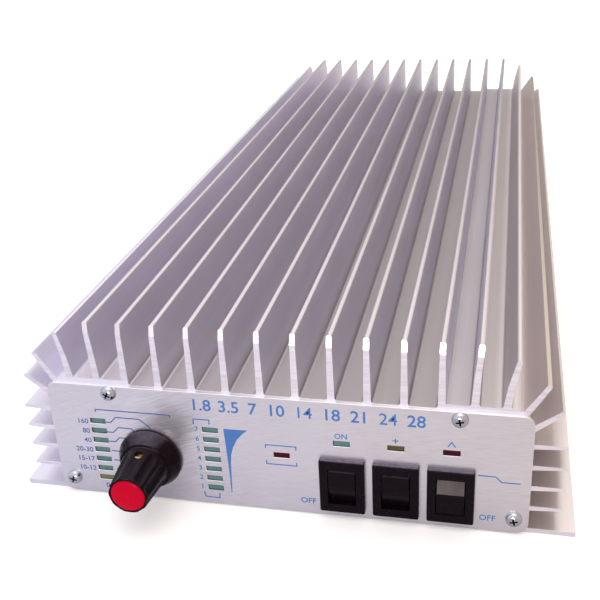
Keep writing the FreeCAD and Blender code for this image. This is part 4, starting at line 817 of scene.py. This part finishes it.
def slanted_outline(root, tip):
    """A fin square to the line from root to tip."""
    root, tip = Vector(root), Vector(tip)
    along = (tip - root).normalized()
    across = Vector((along.y, -along.x))
    foot = root - along * FIN_SINK
    at_foot, at_tip = across * SLANTED_ROOT / 2, across * SLANTED_TIP / 2
    return [tuple(corner) for corner in (foot - at_foot, tip - at_tip, tip + at_tip, foot + at_foot)]


def core_outline():
    """The web, the walls and the flanges, round the space for the boards."""
    flange = BODY_HIGH.x / MM
    right = [(WALL - 27.9, CHANNEL_FLOOR), (WALL - 27.2, OUTER_FLOOR)]
    right += [*arc((WALL - 5.5, 42.5), 5.5, 90, 0, 8), (WALL, 1.9), (flange, 1.9), (flange, 0.0), (77.5, 0.0)]
    right += [(77.5, 2.1), (70.0, 2.1), (70.0, 10.3), (77.5, 10.3), (77.5, 41.0)]
    right += [(64.0, 41.0), (64.0, 39.2), (56.0, 39.2), (56.0, 41.0)]
    return right + mirrored(right)


def sort_faces(body):
    """The sawn ends take the second finish; the fins' narrow tips and front bevels the third."""
    tip_area = sizes().fin_tip * (BACK - FRONT) * MM
    for polygon in body.data.polygons:
        across, along, up = polygon.normal
        at_top = polygon.center.z > (FIN_TOP - 0.3) * MM
        narrow = 0.75 * tip_area < polygon.area < 1.15 * tip_area
        if abs(along) > 0.6:
            polygon.material_index = 2 if along < 0 and up > 0.1 and abs(across) < 0.1 else 1
        else:
            polygon.material_index = 2 if up > 0.3 and (at_top or narrow) else 0


class AMPLIFIER_OT_finned_body(bpy.types.Operator):
    """Build the finned extrusion: its core, the upright fins, the corner fins and the side fins"""

    bl_idname = "amplifier.finned_body"
    bl_label = "Finned body"

    def execute(self, context):
        own = sizes()
        bevel_z = FIN_TOP - TIP_BEVEL[0]
        first_x = -own.fin_pitch / MM * (own.fin_count - 1) / 2
        outline = fin_outline((first_x, CHANNEL_FLOOR), (first_x, FIN_TOP), own.fin_tip / MM, bevel_z)
        upright = row(fin("upright", outline, bevel_z), own.fin_count, (own.fin_pitch, 0, 0), "anodised")

        top, bend = (WALL - 16.1, FIN_TOP), (WALL - 17.0, 58.0)
        edge = fin_outline((WALL - 17.5, OUTER_FLOOR), top, 1.7, bevel_z, bend)
        lean = fin_outline((WALL - 7.5, OUTER_FLOOR), (WALL - 4.6, 65.3), 1.6, None, (WALL - 6.6, 56.0))
        fan = slanted_outline((WALL - 2.0, 46.0), (WALL + 4.9, 57.0))
        cheek = slanted_outline((WALL - 0.4, 40.0), (WALL + 9.8, 47.8))
        corner = []
        for shape, start in ((edge, bevel_z), (lean, None), (fan, None), (cheek, None)):
            corner += [fin("right", shape, start), fin("left", mirrored(shape), start)]

        foot, tip = WALL - FIN_SINK, WALL + SIDE_REACH
        tapered = [(foot, 9.0), (tip, 9.9), (tip, 11.0), (foot, 11.0)]
        pair = [prism("fin", shape, FRONT, BACK) for shape in (tapered, mirrored(tapered))]
        side = row(joined("side", pair), own.side_count, (0, 0, own.side_pitch), "anodised")
        core = prism("core", core_outline(), FRONT, BACK)
        body = bevelled(united("finned_body", [core, upright, *corner, side]), own.edge_round)
        looks = ["anodised", "sawn", "sawn bevel"]
        sort_faces(finished(body, looks, "cabinet", ["heatsink"]))
        return {"FINISHED"}


# ---- front plate and print ----

LINE, METER_LINE = 0.42, 0.45  # width of the printed lines
FIGURE_SCALE = 1.42  # the font's size for a figure one high


class AMPLIFIER_OT_front_plate(bpy.types.Operator):
    """Build the brushed front plate with its cut windows and broken edges"""

    bl_idname = "amplifier.front_plate"
    bl_label = "Front plate"

    def execute(self, context):
        plate = bevelled(copied("front_panel", "front_plate"), sizes().plate_edge, angle=40)
        finished(plate, ["brushed plate", "cut edge"], "cabinet", ["front_panel"])
        for polygon in plate.data.polygons:
            polygon.material_index = 0 if abs(polygon.normal.y) > 0.9 else 1
        return {"FINISHED"}


def printed(outline):
    """A flat printed shape on the face of the plate."""
    depth = sizes().print_depth / MM
    return prism("printed", outline, FACE - depth, FACE + depth / 2)


def ribbon(points, width=LINE):
    """A printed line along points in X and Z, with mitred corners."""
    points = [Vector(point) for point in points]
    ways = [(after - before).normalized() for before, after in zip(points, points[1:])]
    lefts, rights = [], []
    for index, here in enumerate(points):
        coming = ways[max(index - 1, 0)]
        going = ways[min(index, len(ways) - 1)]
        side = (coming + going).normalized().orthogonal()
        reach = width / 2 / max(0.5, side.dot(going.orthogonal()))
        lefts.append(tuple(here + side * reach))
        rights.append(tuple(here - side * reach))
    return printed(lefts + rights[::-1])


def lettering(text, x, z, height, align="CENTER"):
    """Plain figures printed on the plate; x and z are their middle, or their right end."""
    curve = bpy.data.curves.new("figures", "FONT")
    curve.body = text
    curve.size = height * MM * FIGURE_SCALE
    curve.align_x = align
    curve.align_y = "CENTER"
    curve.extrude = sizes().print_depth * 0.75
    weight = 0.006 if "4" in text else 0.018
    curve.offset = height * MM * weight
    curve.resolution_u = 3
    figures = settle(linked("figures", curve))
    return moved(figures, x, FACE - sizes().print_depth / MM * 0.25, z, (math.pi / 2, 0, 0))


LEADERS = [
    [(-63.2, 31.4), (-60.9, 31.4), (-58.8, 33.7), (-50.0, 33.7), (-46.3, 30.5), (-46.3, 28.8)],
    [(-63.0, 27.3), (-60.5, 27.3), (-58.3, 29.5), (-53.3, 29.4), (-51.2, 26.8)],
    [(-62.6, 23.4), (-60.2, 23.4), (-58.5, 25.2), (-56.6, 25.2), (-55.0, 24.1)],
    [(-62.2, 19.4), (-57.6, 19.3)],
    [(-61.8, 15.4), (-58.9, 15.4), (-57.8, 14.3)],
    [(-61.3, 11.6), (-58.6, 11.6)],
]
BRACKET_OVER_BANDS = [(-66.0, 35.4), (-66.0, 36.4), (-38.5, 36.4), (-38.5, 35.4)]
METER_BRACKETS = [
    [(-30.2, 33.6), (-30.0, 35.7), (-24.4, 35.7), (-24.4, 33.9)],
    [(-28.9, 5.2), (-28.5, 3.1), (-23.3, 3.0), (-23.2, 5.0)],
]
THIN_LINES = [
    [(-5.0, 26.2), (-5.0, 27.6), (5.6, 27.6), (5.6, 26.2)],
    [(-5.0, 21.2), (-5.0, 19.8), (5.6, 19.8), (5.6, 21.2)],
    [(56.4, 32.8), (57.6, 34.6), (58.8, 32.8)],
    [(66.4, 22.6), (72.0, 22.6), (74.0, 20.6), (80.0, 20.6)],
]
BAND_FIGURES = ["160", "80", "40", "20-30", "15-17", "10-12"]
TOP_FIGURES = ["1.8", "3.5", "7", "10", "14", "18", "21", "24", "28"]
TOP_PLACES = [-26.9, -17.0, -8.7, -0.6, 8.8, 18.2, 27.6, 37.0, 46.2]
SWITCH_MARKS = [
    ("ON", 21.2, 33.3, 2.0),
    ("+", 39.4, 33.2, 2.8),
    ("OFF", 9.1, 5.6, 2.2),
    ("OFF", 69.9, 5.6, 2.2),
]


def wedge():
    """The level mark beside the output lamps: wide at the top, running out to a line."""
    right = [(-11.1, 32.7), (-13.0, 31.0), (-15.0, 28.5), (-16.6, 25.4), (-17.6, 22.0), (-18.0, 18.0)]
    right += [(-18.2, 12.0), (-18.45, 6.0)]
    left = [(-18.75, 6.0), (-18.8, 14.0), (-19.05, 22.0), (-19.5, 32.6)]
    return printed(right[::-1] + left[::-1])


class AMPLIFIER_OT_print(bpy.types.Operator):
    """Print the plain figures, lines and marks on the front plate"""

    bl_idname = "amplifier.front_print"
    bl_label = "Front print"

    def execute(self, context):
        pitch = sizes().lamp_pitch / MM
        fine = [ribbon(points) for points in (*LEADERS, BRACKET_OVER_BANDS)]
        for step, figures in enumerate(BAND_FIGURES):
            fine.append(lettering(figures, -69.4, 31.1 - step * pitch, 2.0, "RIGHT"))
        fine.append(lettering("0", -65.9, 3.8, 2.0))
        marks = [wedge()]
        marks += [ribbon(points, METER_LINE) for points in METER_BRACKETS]
        marks += [ribbon(points) for points in THIN_LINES]
        marks += [lettering(str(step + 1), -29.3, LOWEST_LAMP + step * pitch, 1.9) for step in range(7)]
        marks += [lettering(figures, x, 41.3, 4.4) for figures, x in zip(TOP_FIGURES, TOP_PLACES)]
        marks += [lettering(*mark) for mark in SWITCH_MARKS]
        for name, sheet, look in (("front_print", marks, "print"), ("fine_print", fine, "fine print")):
            finished(joined(name, sheet), [look], "cabinet")
        return {"FINISHED"}


# ---- screws ----

SQUARE = ((-1, -1), (1, -1), (1, 1), (-1, 1))
BLOCK_FACES = [(0, 1, 2, 3), (4, 5, 6, 7), (0, 1, 5, 4), (1, 2, 6, 5), (2, 3, 7, 6), (3, 0, 4, 7)]
PLATE_SCREWS = ((60.0, 43.6), (78.5, 6.3))
COVER_SCREW_X, COVER_SCREW_PITCH = 74.0, 190.0


def cross_screw(name, shank, countersunk):
    """A cross-head screw whose head stands up along Z from its seat."""
    if countersunk:
        top, rim = 0.2, -0.1
        profile = [(0, 0), (2.7, 0), (2.8, -0.1), (1.5, -1.5), (1.45, -shank), (0, -shank)]
    else:
        top, rim = 2.2, 1.5
        crown = [(0, 2.0), (0.9, 1.95), (1.6, 1.78), (2.15, 1.48), (2.55, 1.02), (2.76, 0.45), (2.8, 0.0)]
        profile = crown + [(1.5, 0.0), (1.45, -0.2), (1.45, -shank), (0, -shank)]
    screw = moved(turned(name, profile, 40), turn=(math.pi / 2, 0, 0))
    for along_x in (False, True):
        corners = []
        for height, reach, half in ((top - 1.5, 0.80, 0.22), (top, 1.55, 0.33)):
            for x, y in SQUARE:
                flat = (x * reach, y * half)
                corners.append((*(flat if along_x else flat[::-1]), height))
        carved(screw, solid("arm", corners, BLOCK_FACES))
    # marks the faces of the cross, which get painted shade
    recess = screw.data.attributes.new("recess", "FLOAT", "FACE")
    for polygon in screw.data.polygons:
        x, y, z = polygon.center / MM
        inside = math.hypot(x, y) < 1.6 and z > -1.4 and (polygon.normal.z < 0.7 or z < rim)
        recess.data[polygon.index].value = 1.0 if inside else 0.0
    return smoothed(screw)


def points_at(name, places):
    mesh = bpy.data.meshes.new(name)
    mesh.from_pydata([Vector(place) * MM for place in places], [], [])
    return linked(name, mesh)


class AMPLIFIER_OT_screws(bpy.types.Operator):
    """Put the cross-head screws in the plates, the sockets and the cover"""

    bl_idname = "amplifier.screws"
    bl_label = "Screws"

    def execute(self, context):
        plate = [(sx * x, z) for x, z in PLATE_SCREWS for sx in (-1, 1)]
        corners = [(dx, dz) for dx in (-FLANGE_SCREW, FLANGE_SCREW) for dz in (-FLANGE_SCREW, FLANGE_SCREW)]
        socket = [(sx * SOCKET_X + dx, SOCKET_Z + dz) for sx in (-1, 1) for dx, dz in corners]
        places = [(sx * COVER_SCREW_X, step * COVER_SCREW_PITCH) for sx in (-1, 1) for step in (-1, 0, 1)]
        cover = [(x, y, 0.1) for x, y in places]
        front = [(x, FACE, z) for x, z in plate]
        rear = [(x, REAR_FACE, z) for x, z in plate]
        flange = [(x, REAR_FACE + FLANGE, z) for x, z in socket]
        forwards, backwards, down = (math.pi / 2, 0, 0), (-math.pi / 2, 0, 0), (math.pi, 0, 0)
        rows = [
            ("front_screws", front, forwards, 8.0, "bright screw", "screw_chrome", "front_panel_screws"),
            ("rear_screws", rear, backwards, 8.0, "bright screw", "screw_chrome", "rear_panel_screws"),
            ("jack_screws", flange, backwards, 6.0, "bright screw", "screw_chrome", "socket_screws"),
            ("cover_screws", cover, down, 5.5, "zinc screw", "screw_steel", "bottom_cover_screws"),
        ]
        for seed, (name, places, facing, shank, look, slot, node) in enumerate(rows, start=4):
            screw = cross_screw(name + "_one", shank, countersunk=places is cover)
            values = {"Screw": screw, "Facing": facing, "Seed": seed, "Finish": finish_of(look)}
            screws = grown(points_at(name, places), "Screws at points", **values)
            drop(screw)
            finished(smoothed(screws), (), "cabinet", [node])
        return {"FINISHED"}


# ---- knob ----

KNOB = (-47.4, FACE - 0.6, 18.1)  # the middle of the skirt's back edge
HOLLOW = 3.7  # depth of the hollow in the skirt's back
CAP_SEAT = 21.8
SKIRT_FROM = 8.5  # radius past which the skirt's finish, with its painted sheen, starts
GRIP_RADIUS, GRIP_TAPER = 8.34, 1.3
GRIP_START, GRIP_LENGTH = 6.8, 14.3
GRIP_STEPS = 14
FLUTE_RUN_IN = 4.5  # the flutes reach their full depth over one part in 4.5 of the grip
FLUTE_CUTTER = 3.4
FLUTE_STEPS = 16


def fluted_radius(radius, depth, angle):
    """The radius at an angle where round flutes of that depth are cut."""
    if depth < 1e-3:
        return radius
    pitch = 2 * math.pi / sizes().flute_count
    offset = (angle + pitch / 2) % pitch - pitch / 2
    centre = radius + FLUTE_CUTTER - depth
    inside = FLUTE_CUTTER * FLUTE_CUTTER - (centre * math.sin(offset)) ** 2
    if inside <= 0:
        return radius
    return min(radius, centre * math.cos(offset) - math.sqrt(inside))


def knob_shape():
    """Skirt with a bevelled front, stepped collar, fluted grip and a rim round the cap's seat."""
    flute = sizes().flute_depth / MM
    plain = [(0.0, HOLLOW), (8.4, HOLLOW), (8.4, 0.0), (11.3, 0.0), (11.45, 0.12), (11.5, 0.3)]
    plain += [(11.5, 0.85), (11.42, 1.1), (9.35, 5.25), (9.15, 5.5), (8.9, 5.6), (8.62, 5.6)]
    plain += [(8.5, 5.75), (8.42, 6.2)]
    rim = [(6.65, 21.8), (6.3, 21.8), (6.15, 21.7), (6.15, 21.0), (0.0, 21.0)]
    stations = [(r, -y, 0.0) for r, y in plain]
    for share in [step / GRIP_STEPS for step in range(GRIP_STEPS + 1)]:
        depth = flute * min(1.0, share * FLUTE_RUN_IN) ** 0.5
        stations.append((GRIP_RADIUS - GRIP_TAPER * share, -(GRIP_START + GRIP_LENGTH * share), depth))
    stations += [(r, -y, flute * 0.6) for r, y in ((6.98, 21.45), (6.85, 21.7))]
    stations += [(r, -y, 0.0) for r, y in rim]
    steps = sizes().flute_count * FLUTE_STEPS
    return turned("band_knob", stations, steps, shift=0.5, reach=fluted_radius)


class AMPLIFIER_OT_knob(bpy.types.Operator):
    """Build the fluted band knob and its red cap"""

    bl_idname = "amplifier.knob"
    bl_label = "Band knob"

    def execute(self, context):
        bore = turned("bore", [(0, 0), (3.0, 0), (3.0, -15.5), (0, -15.5)], 40)
        tap = turned("tap", [(0, 0), (1.55, 0), (1.55, 12), (0, 12)], 32)
        knob = carved(knob_shape(), bore)
        carved(knob, moved(tap, 0, -9.0, 2.0, (math.pi / 2, 0, 0)))
        smoothed(moved(knob, *KNOB), 45)
        finished(knob, ["knob", "knob skirt"], "band_selector", ["selector_knob"])
        for polygon in knob.data.polygons:
            away = math.hypot(polygon.center.x - KNOB[0] * MM, polygon.center.z - KNOB[2] * MM)
            polygon.material_index = 1 if away > SKIRT_FROM * MM else 0
        dome = [(0, -0.62), (2.2, -0.56), (4.0, -0.42), (5.2, -0.24), (5.75, -0.08), (6.0, 0.12), (6.08, 0.4)]
        profile = dome + [(6.08, 0.79), (4.0, 0.79), (4.0, 2.3), (0, 2.3)]
        cap = moved(turned("knob_red_cap", profile, 96), KNOB[0], KNOB[1] - CAP_SEAT, KNOB[2])
        finished(smoothed(cap), ["cap"], "band_selector", ["knob_cap"])
        return {"FINISHED"}


# ---- rocker switches ----


class AMPLIFIER_OT_rockers(bpy.types.Operator):
    """Build the three rocker switches with rounded bezels and rockers"""

    bl_idname = "amplifier.rockers"
    bl_label = "Rocker switches"

    def execute(self, context):
        for name in ("power", "high_power", "delay"):
            housing = copied(f"{name}_switch_housing", f"{name}_bezel")
            bevelled(housing, width=0.22 * MM, steps=2, angle=25)
            finished(housing, ["switch"], "cabinet", [f"{name}_switch_housing"])
            rocker = copied(f"{name}_rocker", f"{name}_key")
            bevelled(rocker, width=0.30 * MM, steps=4, angle=7, soft=False)
            finished(rocker, ["switch"], f"{name}_switch", [f"{name}_rocker"])
        return {"FINISHED"}


# ---- lamps ----

OVER_SWITCHES = 30.4


def lamp_shape(name):
    """A flat lamp with a rounded front, its foot and two leads, for the middle of the plate's window."""
    block = bevelled(box("lens", (-2.65, 0.3, -0.9), (2.65, 7.3, 0.9)), 0.18 * MM, steps=2)
    foot = box("foot", (-2.95, 7.3, -1.2), (2.95, 8.1, 1.2))
    leads = [box("lead", (x - 0.25, 8.0, -0.25), (x + 0.25, 14.0, 0.25)) for x in (-1.27, 1.27)]
    return moved(joined(name, [block, foot, *leads]), y=FACE)


class AMPLIFIER_OT_lamps(bpy.types.Operator):
    """Build the lamp columns and the single lamps"""

    bl_idname = "amplifier.lamps"
    bl_label = "Lamps"

    def execute(self, context):
        pitch = sizes().lamp_pitch
        rows = [
            ("auto_lamp", -65.7, LOWEST_LAMP, 1, "pale lens", "lens_yellow", "auto_led"),
            ("band_lamps", -65.7, LOWEST_LAMP + pitch / MM, 6, "green lens", "lens_green", "band_leds"),
            ("output_lamps", -24.4, LOWEST_LAMP, 7, "green lens", "lens_green", "output_leds"),
            ("warning_lamp", 0.3, 23.7, 1, "red lens", "lens_red", "warning_led"),
            ("power_on_lamp", 21.3, OVER_SWITCHES, 1, "green lens", "lens_green", "power_on_led"),
            ("high_power_lamp", 39.5, OVER_SWITCHES, 1, "yellow lens", "lens_yellow", "high_power_led"),
            ("transmit_lamp", 57.7, OVER_SWITCHES, 1, "red lens", "lens_red", "transmit_led"),
        ]
        for name, x, z, count, look, slot, node in rows:
            lamps = row(moved(lamp_shape(name), x=x, z=z), count, (0, 0, pitch), look)
            finished(lamps, (), "cabinet", [node])
        return {"FINISHED"}


# ---- back fittings ----


def threaded_barrel(name, start, end, crest, root, pitch):
    """A helical thread between two depths, closed at both ends."""
    steps = 48
    count = int((end - start) / pitch) * steps
    corners, faces = [], []
    for index in range(count + 1):
        angle = 2 * math.pi * index / steps
        depth = start + pitch * index / steps
        for shift, radius in ((0.0, root), (0.25, crest), (0.45, crest), (0.70, root)):
            corners.append((radius * math.sin(angle), depth + shift * pitch, radius * math.cos(angle)))
    for index in range(0, count * 4, 4):
        faces += [(strip, strip + 1, strip + 5, strip + 4) for strip in range(index, index + 3)]
        faces.append((index + 3, index, index + 4, index + 7))
    faces += [(0, 1, 2, 3), (count * 4, count * 4 + 3, count * 4 + 2, count * 4 + 1)]
    return solid(name, corners, faces)


class AMPLIFIER_OT_sockets(bpy.types.Operator):
    """Build the coaxial sockets with their threads, flanges and notched mouths"""

    bl_idname = "amplifier.sockets"
    bl_label = "Coaxial sockets"

    def execute(self, context):
        profile = [(5.7, -5.0), (6.0, -5.0), (6.0, 0.1), (7.4, 0.1), (7.4, 15.4)]
        profile += [(7.1, 15.8), (6.9, 16.0), (6.2, 16.0), (5.7, 15.5)]
        square = [(x * FLANGE_HALF, z * FLANGE_HALF) for x, z in SQUARE]
        for name, x in (("input_socket", -SOCKET_X), ("antenna_socket", SOCKET_X)):
            plate = bevelled(prism("flange", square, 0.0, FLANGE), 0.9 * MM, steps=3)
            carved(plate, turned("hole", [(0, -1), (5.7, -1), (5.7, 5), (0, 5)], 48))
            barrel = turned("barrel", profile, closed=True)
            for turn in range(4):
                notch = box("notch", (-0.8, 14.6, 5.0), (0.8, 17.0, 9.0))
                carved(barrel, moved(notch, turn=(0, math.pi / 4 + turn * math.pi / 2, 0)))
            thread = threaded_barrel("thread", 4.0, 15.0, 7.93, 7.3, sizes().thread_pitch / MM)
            socket = moved(joined(name + "_shell", [plate, barrel, thread]), x, REAR_FACE, SOCKET_Z)
            finished(smoothed(socket, 35), ["nickel"], "cabinet", [name])
        return {"FINISHED"}


# ---- solids that keep their shape ----

KEPT = {
    "plain plate": ["rear_panel", "bottom_cover"],
    "turned steel": ["selector_washer", "selector_nut", "selector_shaft", "keying_jack_nut"],
    "switch": ["selector_switch_body", "fuse_holder"],
    "brass": ["knob_set_screw", "output_transformer_tubes", "socket_contacts"],
    "tinned": ["switch_terminals", "board_spacers"],
    "board": ["display_board", "filter_board", "amplifier_board"],
    "ribbon": ["display_ribbon"],
    "zinc screw": ["board_screws", "transistor_screws"],
    "relay": ["band_relays", "antenna_relays"],
    "coil": ["filter_coils", "supply_choke"],
    "ceramic": ["filter_capacitors", "rf_transistors"],
    "ferrite": ["output_transformer_cores", "input_transformer"],
    "copper": ["output_transformer_plates", "output_transformer_winding"],
    "sleeve": ["supply_capacitors"],
    "fuse": ["blade_fuses"],
    "insulator": ["socket_insulators"],
    "nickel": ["keying_jack"],
    "rubber": ["supply_lead_grommet", "coax_leads"],
}


class AMPLIFIER_OT_kept_parts(bpy.types.Operator):
    """Give the plates, the fittings and the parts inside their finishes"""

    bl_idname = "amplifier.kept_parts"
    bl_label = "Plates and inner parts"

    def execute(self, context):
        for look, nodes in KEPT.items():
            for node in nodes:
                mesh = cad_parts[node].data
                mesh.materials.clear()
                mesh.materials.append(finish_of(look))
        return {"FINISHED"}


# ---- stage ----

FLOOR_REACH = 6000.0
SEEN_STUDIO = (0.97, 0.975, 0.98)
LIGHTS = [  # name, place, what it is aimed at, width and height, power in watts, colour
    ("top_light", (0.1, 0.1, 1.7), (0, 0.0, 0.05), (2.0, 2.0), 14.0, (1.0, 0.96, 0.90)),
    ("front_light", (-0.03, -1.7, 0.12), (0, -0.2, 0.03), (0.40, 0.14), 6.6, (1.0, 0.83, 0.81)),
    ("back_light", (0.44, 0.92, 1.56), (-0.04, -0.24, 0.02), (0.15, 0.30), 2.2, (1.0, 0.98, 1.0)),
]
CAMERA_PLACE = (0.06935, -0.46622, 0.20567)
CAMERA_TURN = (64.2392, 2.7748, 12.1957)
CAMERA_LENS = 54.557


def floor_finish():
    """Pale to the eye; greyer in the metal's reflections, with painted light there: cooler at the left,
    warmer at the right and lighter near the plate.
    """
    finish, tree = blank_finish("Pale floor", Roughness=0.9, Specular_IOR_Level=0.1, Emission_Strength=1.0)
    marks = effect(tree, "Handled", Size=0.6, Smudge=0.01)
    x, y, _ = parts_of(tree, object_place(tree))
    # painted light in the floor's reflections: cooler to the left, warmer to the right, lighter near the
    # plate where its shade falls
    grey = mixed(tree, ranged(tree, x, -0.08, 0.11), (0.53, 0.535, 0.585), (0.50, 0.475, 0.45))
    grey = tinted(tree, grey, ranged(tree, y, -0.30, -0.235, 0.94, 1.14))
    return fed(
        finish,
        Base_Color=mixed(tree, ray(tree, "Is Glossy Ray"), tinted(tree, "floor", marks["Tint"]), grey),
        Emission_Color=mixed(tree, ray(tree, "Is Camera Ray"), BLACK, (0.2, 0.2, 0.2)),
    )


def studio_world():
    """Cool light from the left, warm from the right, a dark wall low behind and a bright patch overhead.

    The camera itself sees a plain pale colour."""
    world = bpy.data.worlds.new("Studio")
    world.use_nodes = True
    sky = world.node_tree
    way = sky.nodes.new("ShaderNodeTexCoord").outputs["Generated"]
    x, y, z = parts_of(sky, way)
    side = vectors(sky, "DOT_PRODUCT", way, (1.0, 0.1, 0.0))
    tint = mixed(sky, ranged(sky, side, -0.12, 0.30), "left_light", "right_light")
    behind = product(sky, ranged(sky, y, 0.2, 0.7), ranged(sky, z, 0.05, 0.47, 1.0, 0.0))
    wall = product(sky, behind, ranged(sky, x, 0.15, 0.45, 0.88, 0.15))
    above = product(sky, ranged(sky, z, 0.62, 0.78, 0.0, 0.4), ranged(sky, y, -0.30, -0.10, 1.0, 0.0))
    shade = maths(sky, "ADD", maths(sky, "SUBTRACT", 1.0, wall), above)
    studio = mixed(sky, ray(sky, "Is Camera Ray"), tinted(sky, tint, shade), SEEN_STUDIO)
    background = sky.nodes["Background"].inputs
    sky.links.new(studio, background["Color"])
    background["Strength"].default_value = 1.0
    return world


def area_light(name, place, aim, size, power, rgb):
    data = bpy.data.lights.new(name, "AREA")
    data.shape = "RECTANGLE"
    data.size, data.size_y = size
    data.energy = power
    data.color = rgb
    lamp = linked(name, data)
    lamp.location = place
    lamp.rotation_euler = (Vector(aim) - Vector(place)).to_track_quat("-Z", "Y").to_euler()


def camera():
    data = bpy.data.cameras.new("camera")
    data.sensor_fit = "HORIZONTAL"
    data.sensor_width = 36.0
    data.lens = CAMERA_LENS
    data.clip_start = 0.01
    made = linked("camera", data)
    made.location = CAMERA_PLACE
    made.rotation_euler = [math.radians(angle) for angle in CAMERA_TURN]
    return made


class AMPLIFIER_OT_stage(bpy.types.Operator):
    """Lay the pale floor and set the soft lights and the camera"""

    bl_idname = "amplifier.stage"
    bl_label = "Floor, lights and camera"

    def execute(self, context):
        floor = box("floor", (-FLOOR_REACH, -FLOOR_REACH, -20.0), (FLOOR_REACH, FLOOR_REACH, 0.0))
        floor.data.materials.append(floor_finish())
        for light in LIGHTS:
            area_light(*light)
        context.scene.world = studio_world()
        context.scene.camera = camera()
        context.scene.view_settings.view_transform = "Standard"
        return {"FINISHED"}


# ---- add-on ----


class AMPLIFIER_PT_sidebar(bpy.types.Panel):
    """The amplifier's pieces, in the order in which they are built"""

    bl_label = "Amplifier"
    bl_idname = "AMPLIFIER_PT_sidebar"
    bl_space_type = "VIEW_3D"
    bl_region_type = "UI"
    bl_category = "Amplifier"

    def draw(self, context):
        column = self.layout.column()
        for piece in PIECES:
            column.operator(piece.bl_idname)
        for group in (sizes(), colours()):
            for name in group.bl_rna.properties.keys():
                if name not in ("rna_type", "name"):
                    column.prop(group, name)


PIECES = (
    AMPLIFIER_OT_finned_body,
    AMPLIFIER_OT_front_plate,
    AMPLIFIER_OT_print,
    AMPLIFIER_OT_screws,
    AMPLIFIER_OT_knob,
    AMPLIFIER_OT_rockers,
    AMPLIFIER_OT_lamps,
    AMPLIFIER_OT_sockets,
    AMPLIFIER_OT_kept_parts,
    AMPLIFIER_OT_stage,
)
CLASSES = (AmplifierSizes, AmplifierColours, *PIECES, AMPLIFIER_PT_sidebar)


def register():
    for item in CLASSES:
        bpy.utils.register_class(item)
    bpy.types.Scene.amplifier_sizes = PointerProperty(type=AmplifierSizes)
    bpy.types.Scene.amplifier_colours = PointerProperty(type=AmplifierColours)


def unregister():
    del bpy.types.Scene.amplifier_colours
    del bpy.types.Scene.amplifier_sizes
    for item in reversed(CLASSES):
        bpy.utils.unregister_class(item)


def main():
    register()
    for piece in PIECES:
        group, action = piece.bl_idname.split(".")
        getattr(getattr(bpy.ops, group), action)()


if __name__ == "__main__":
    main()
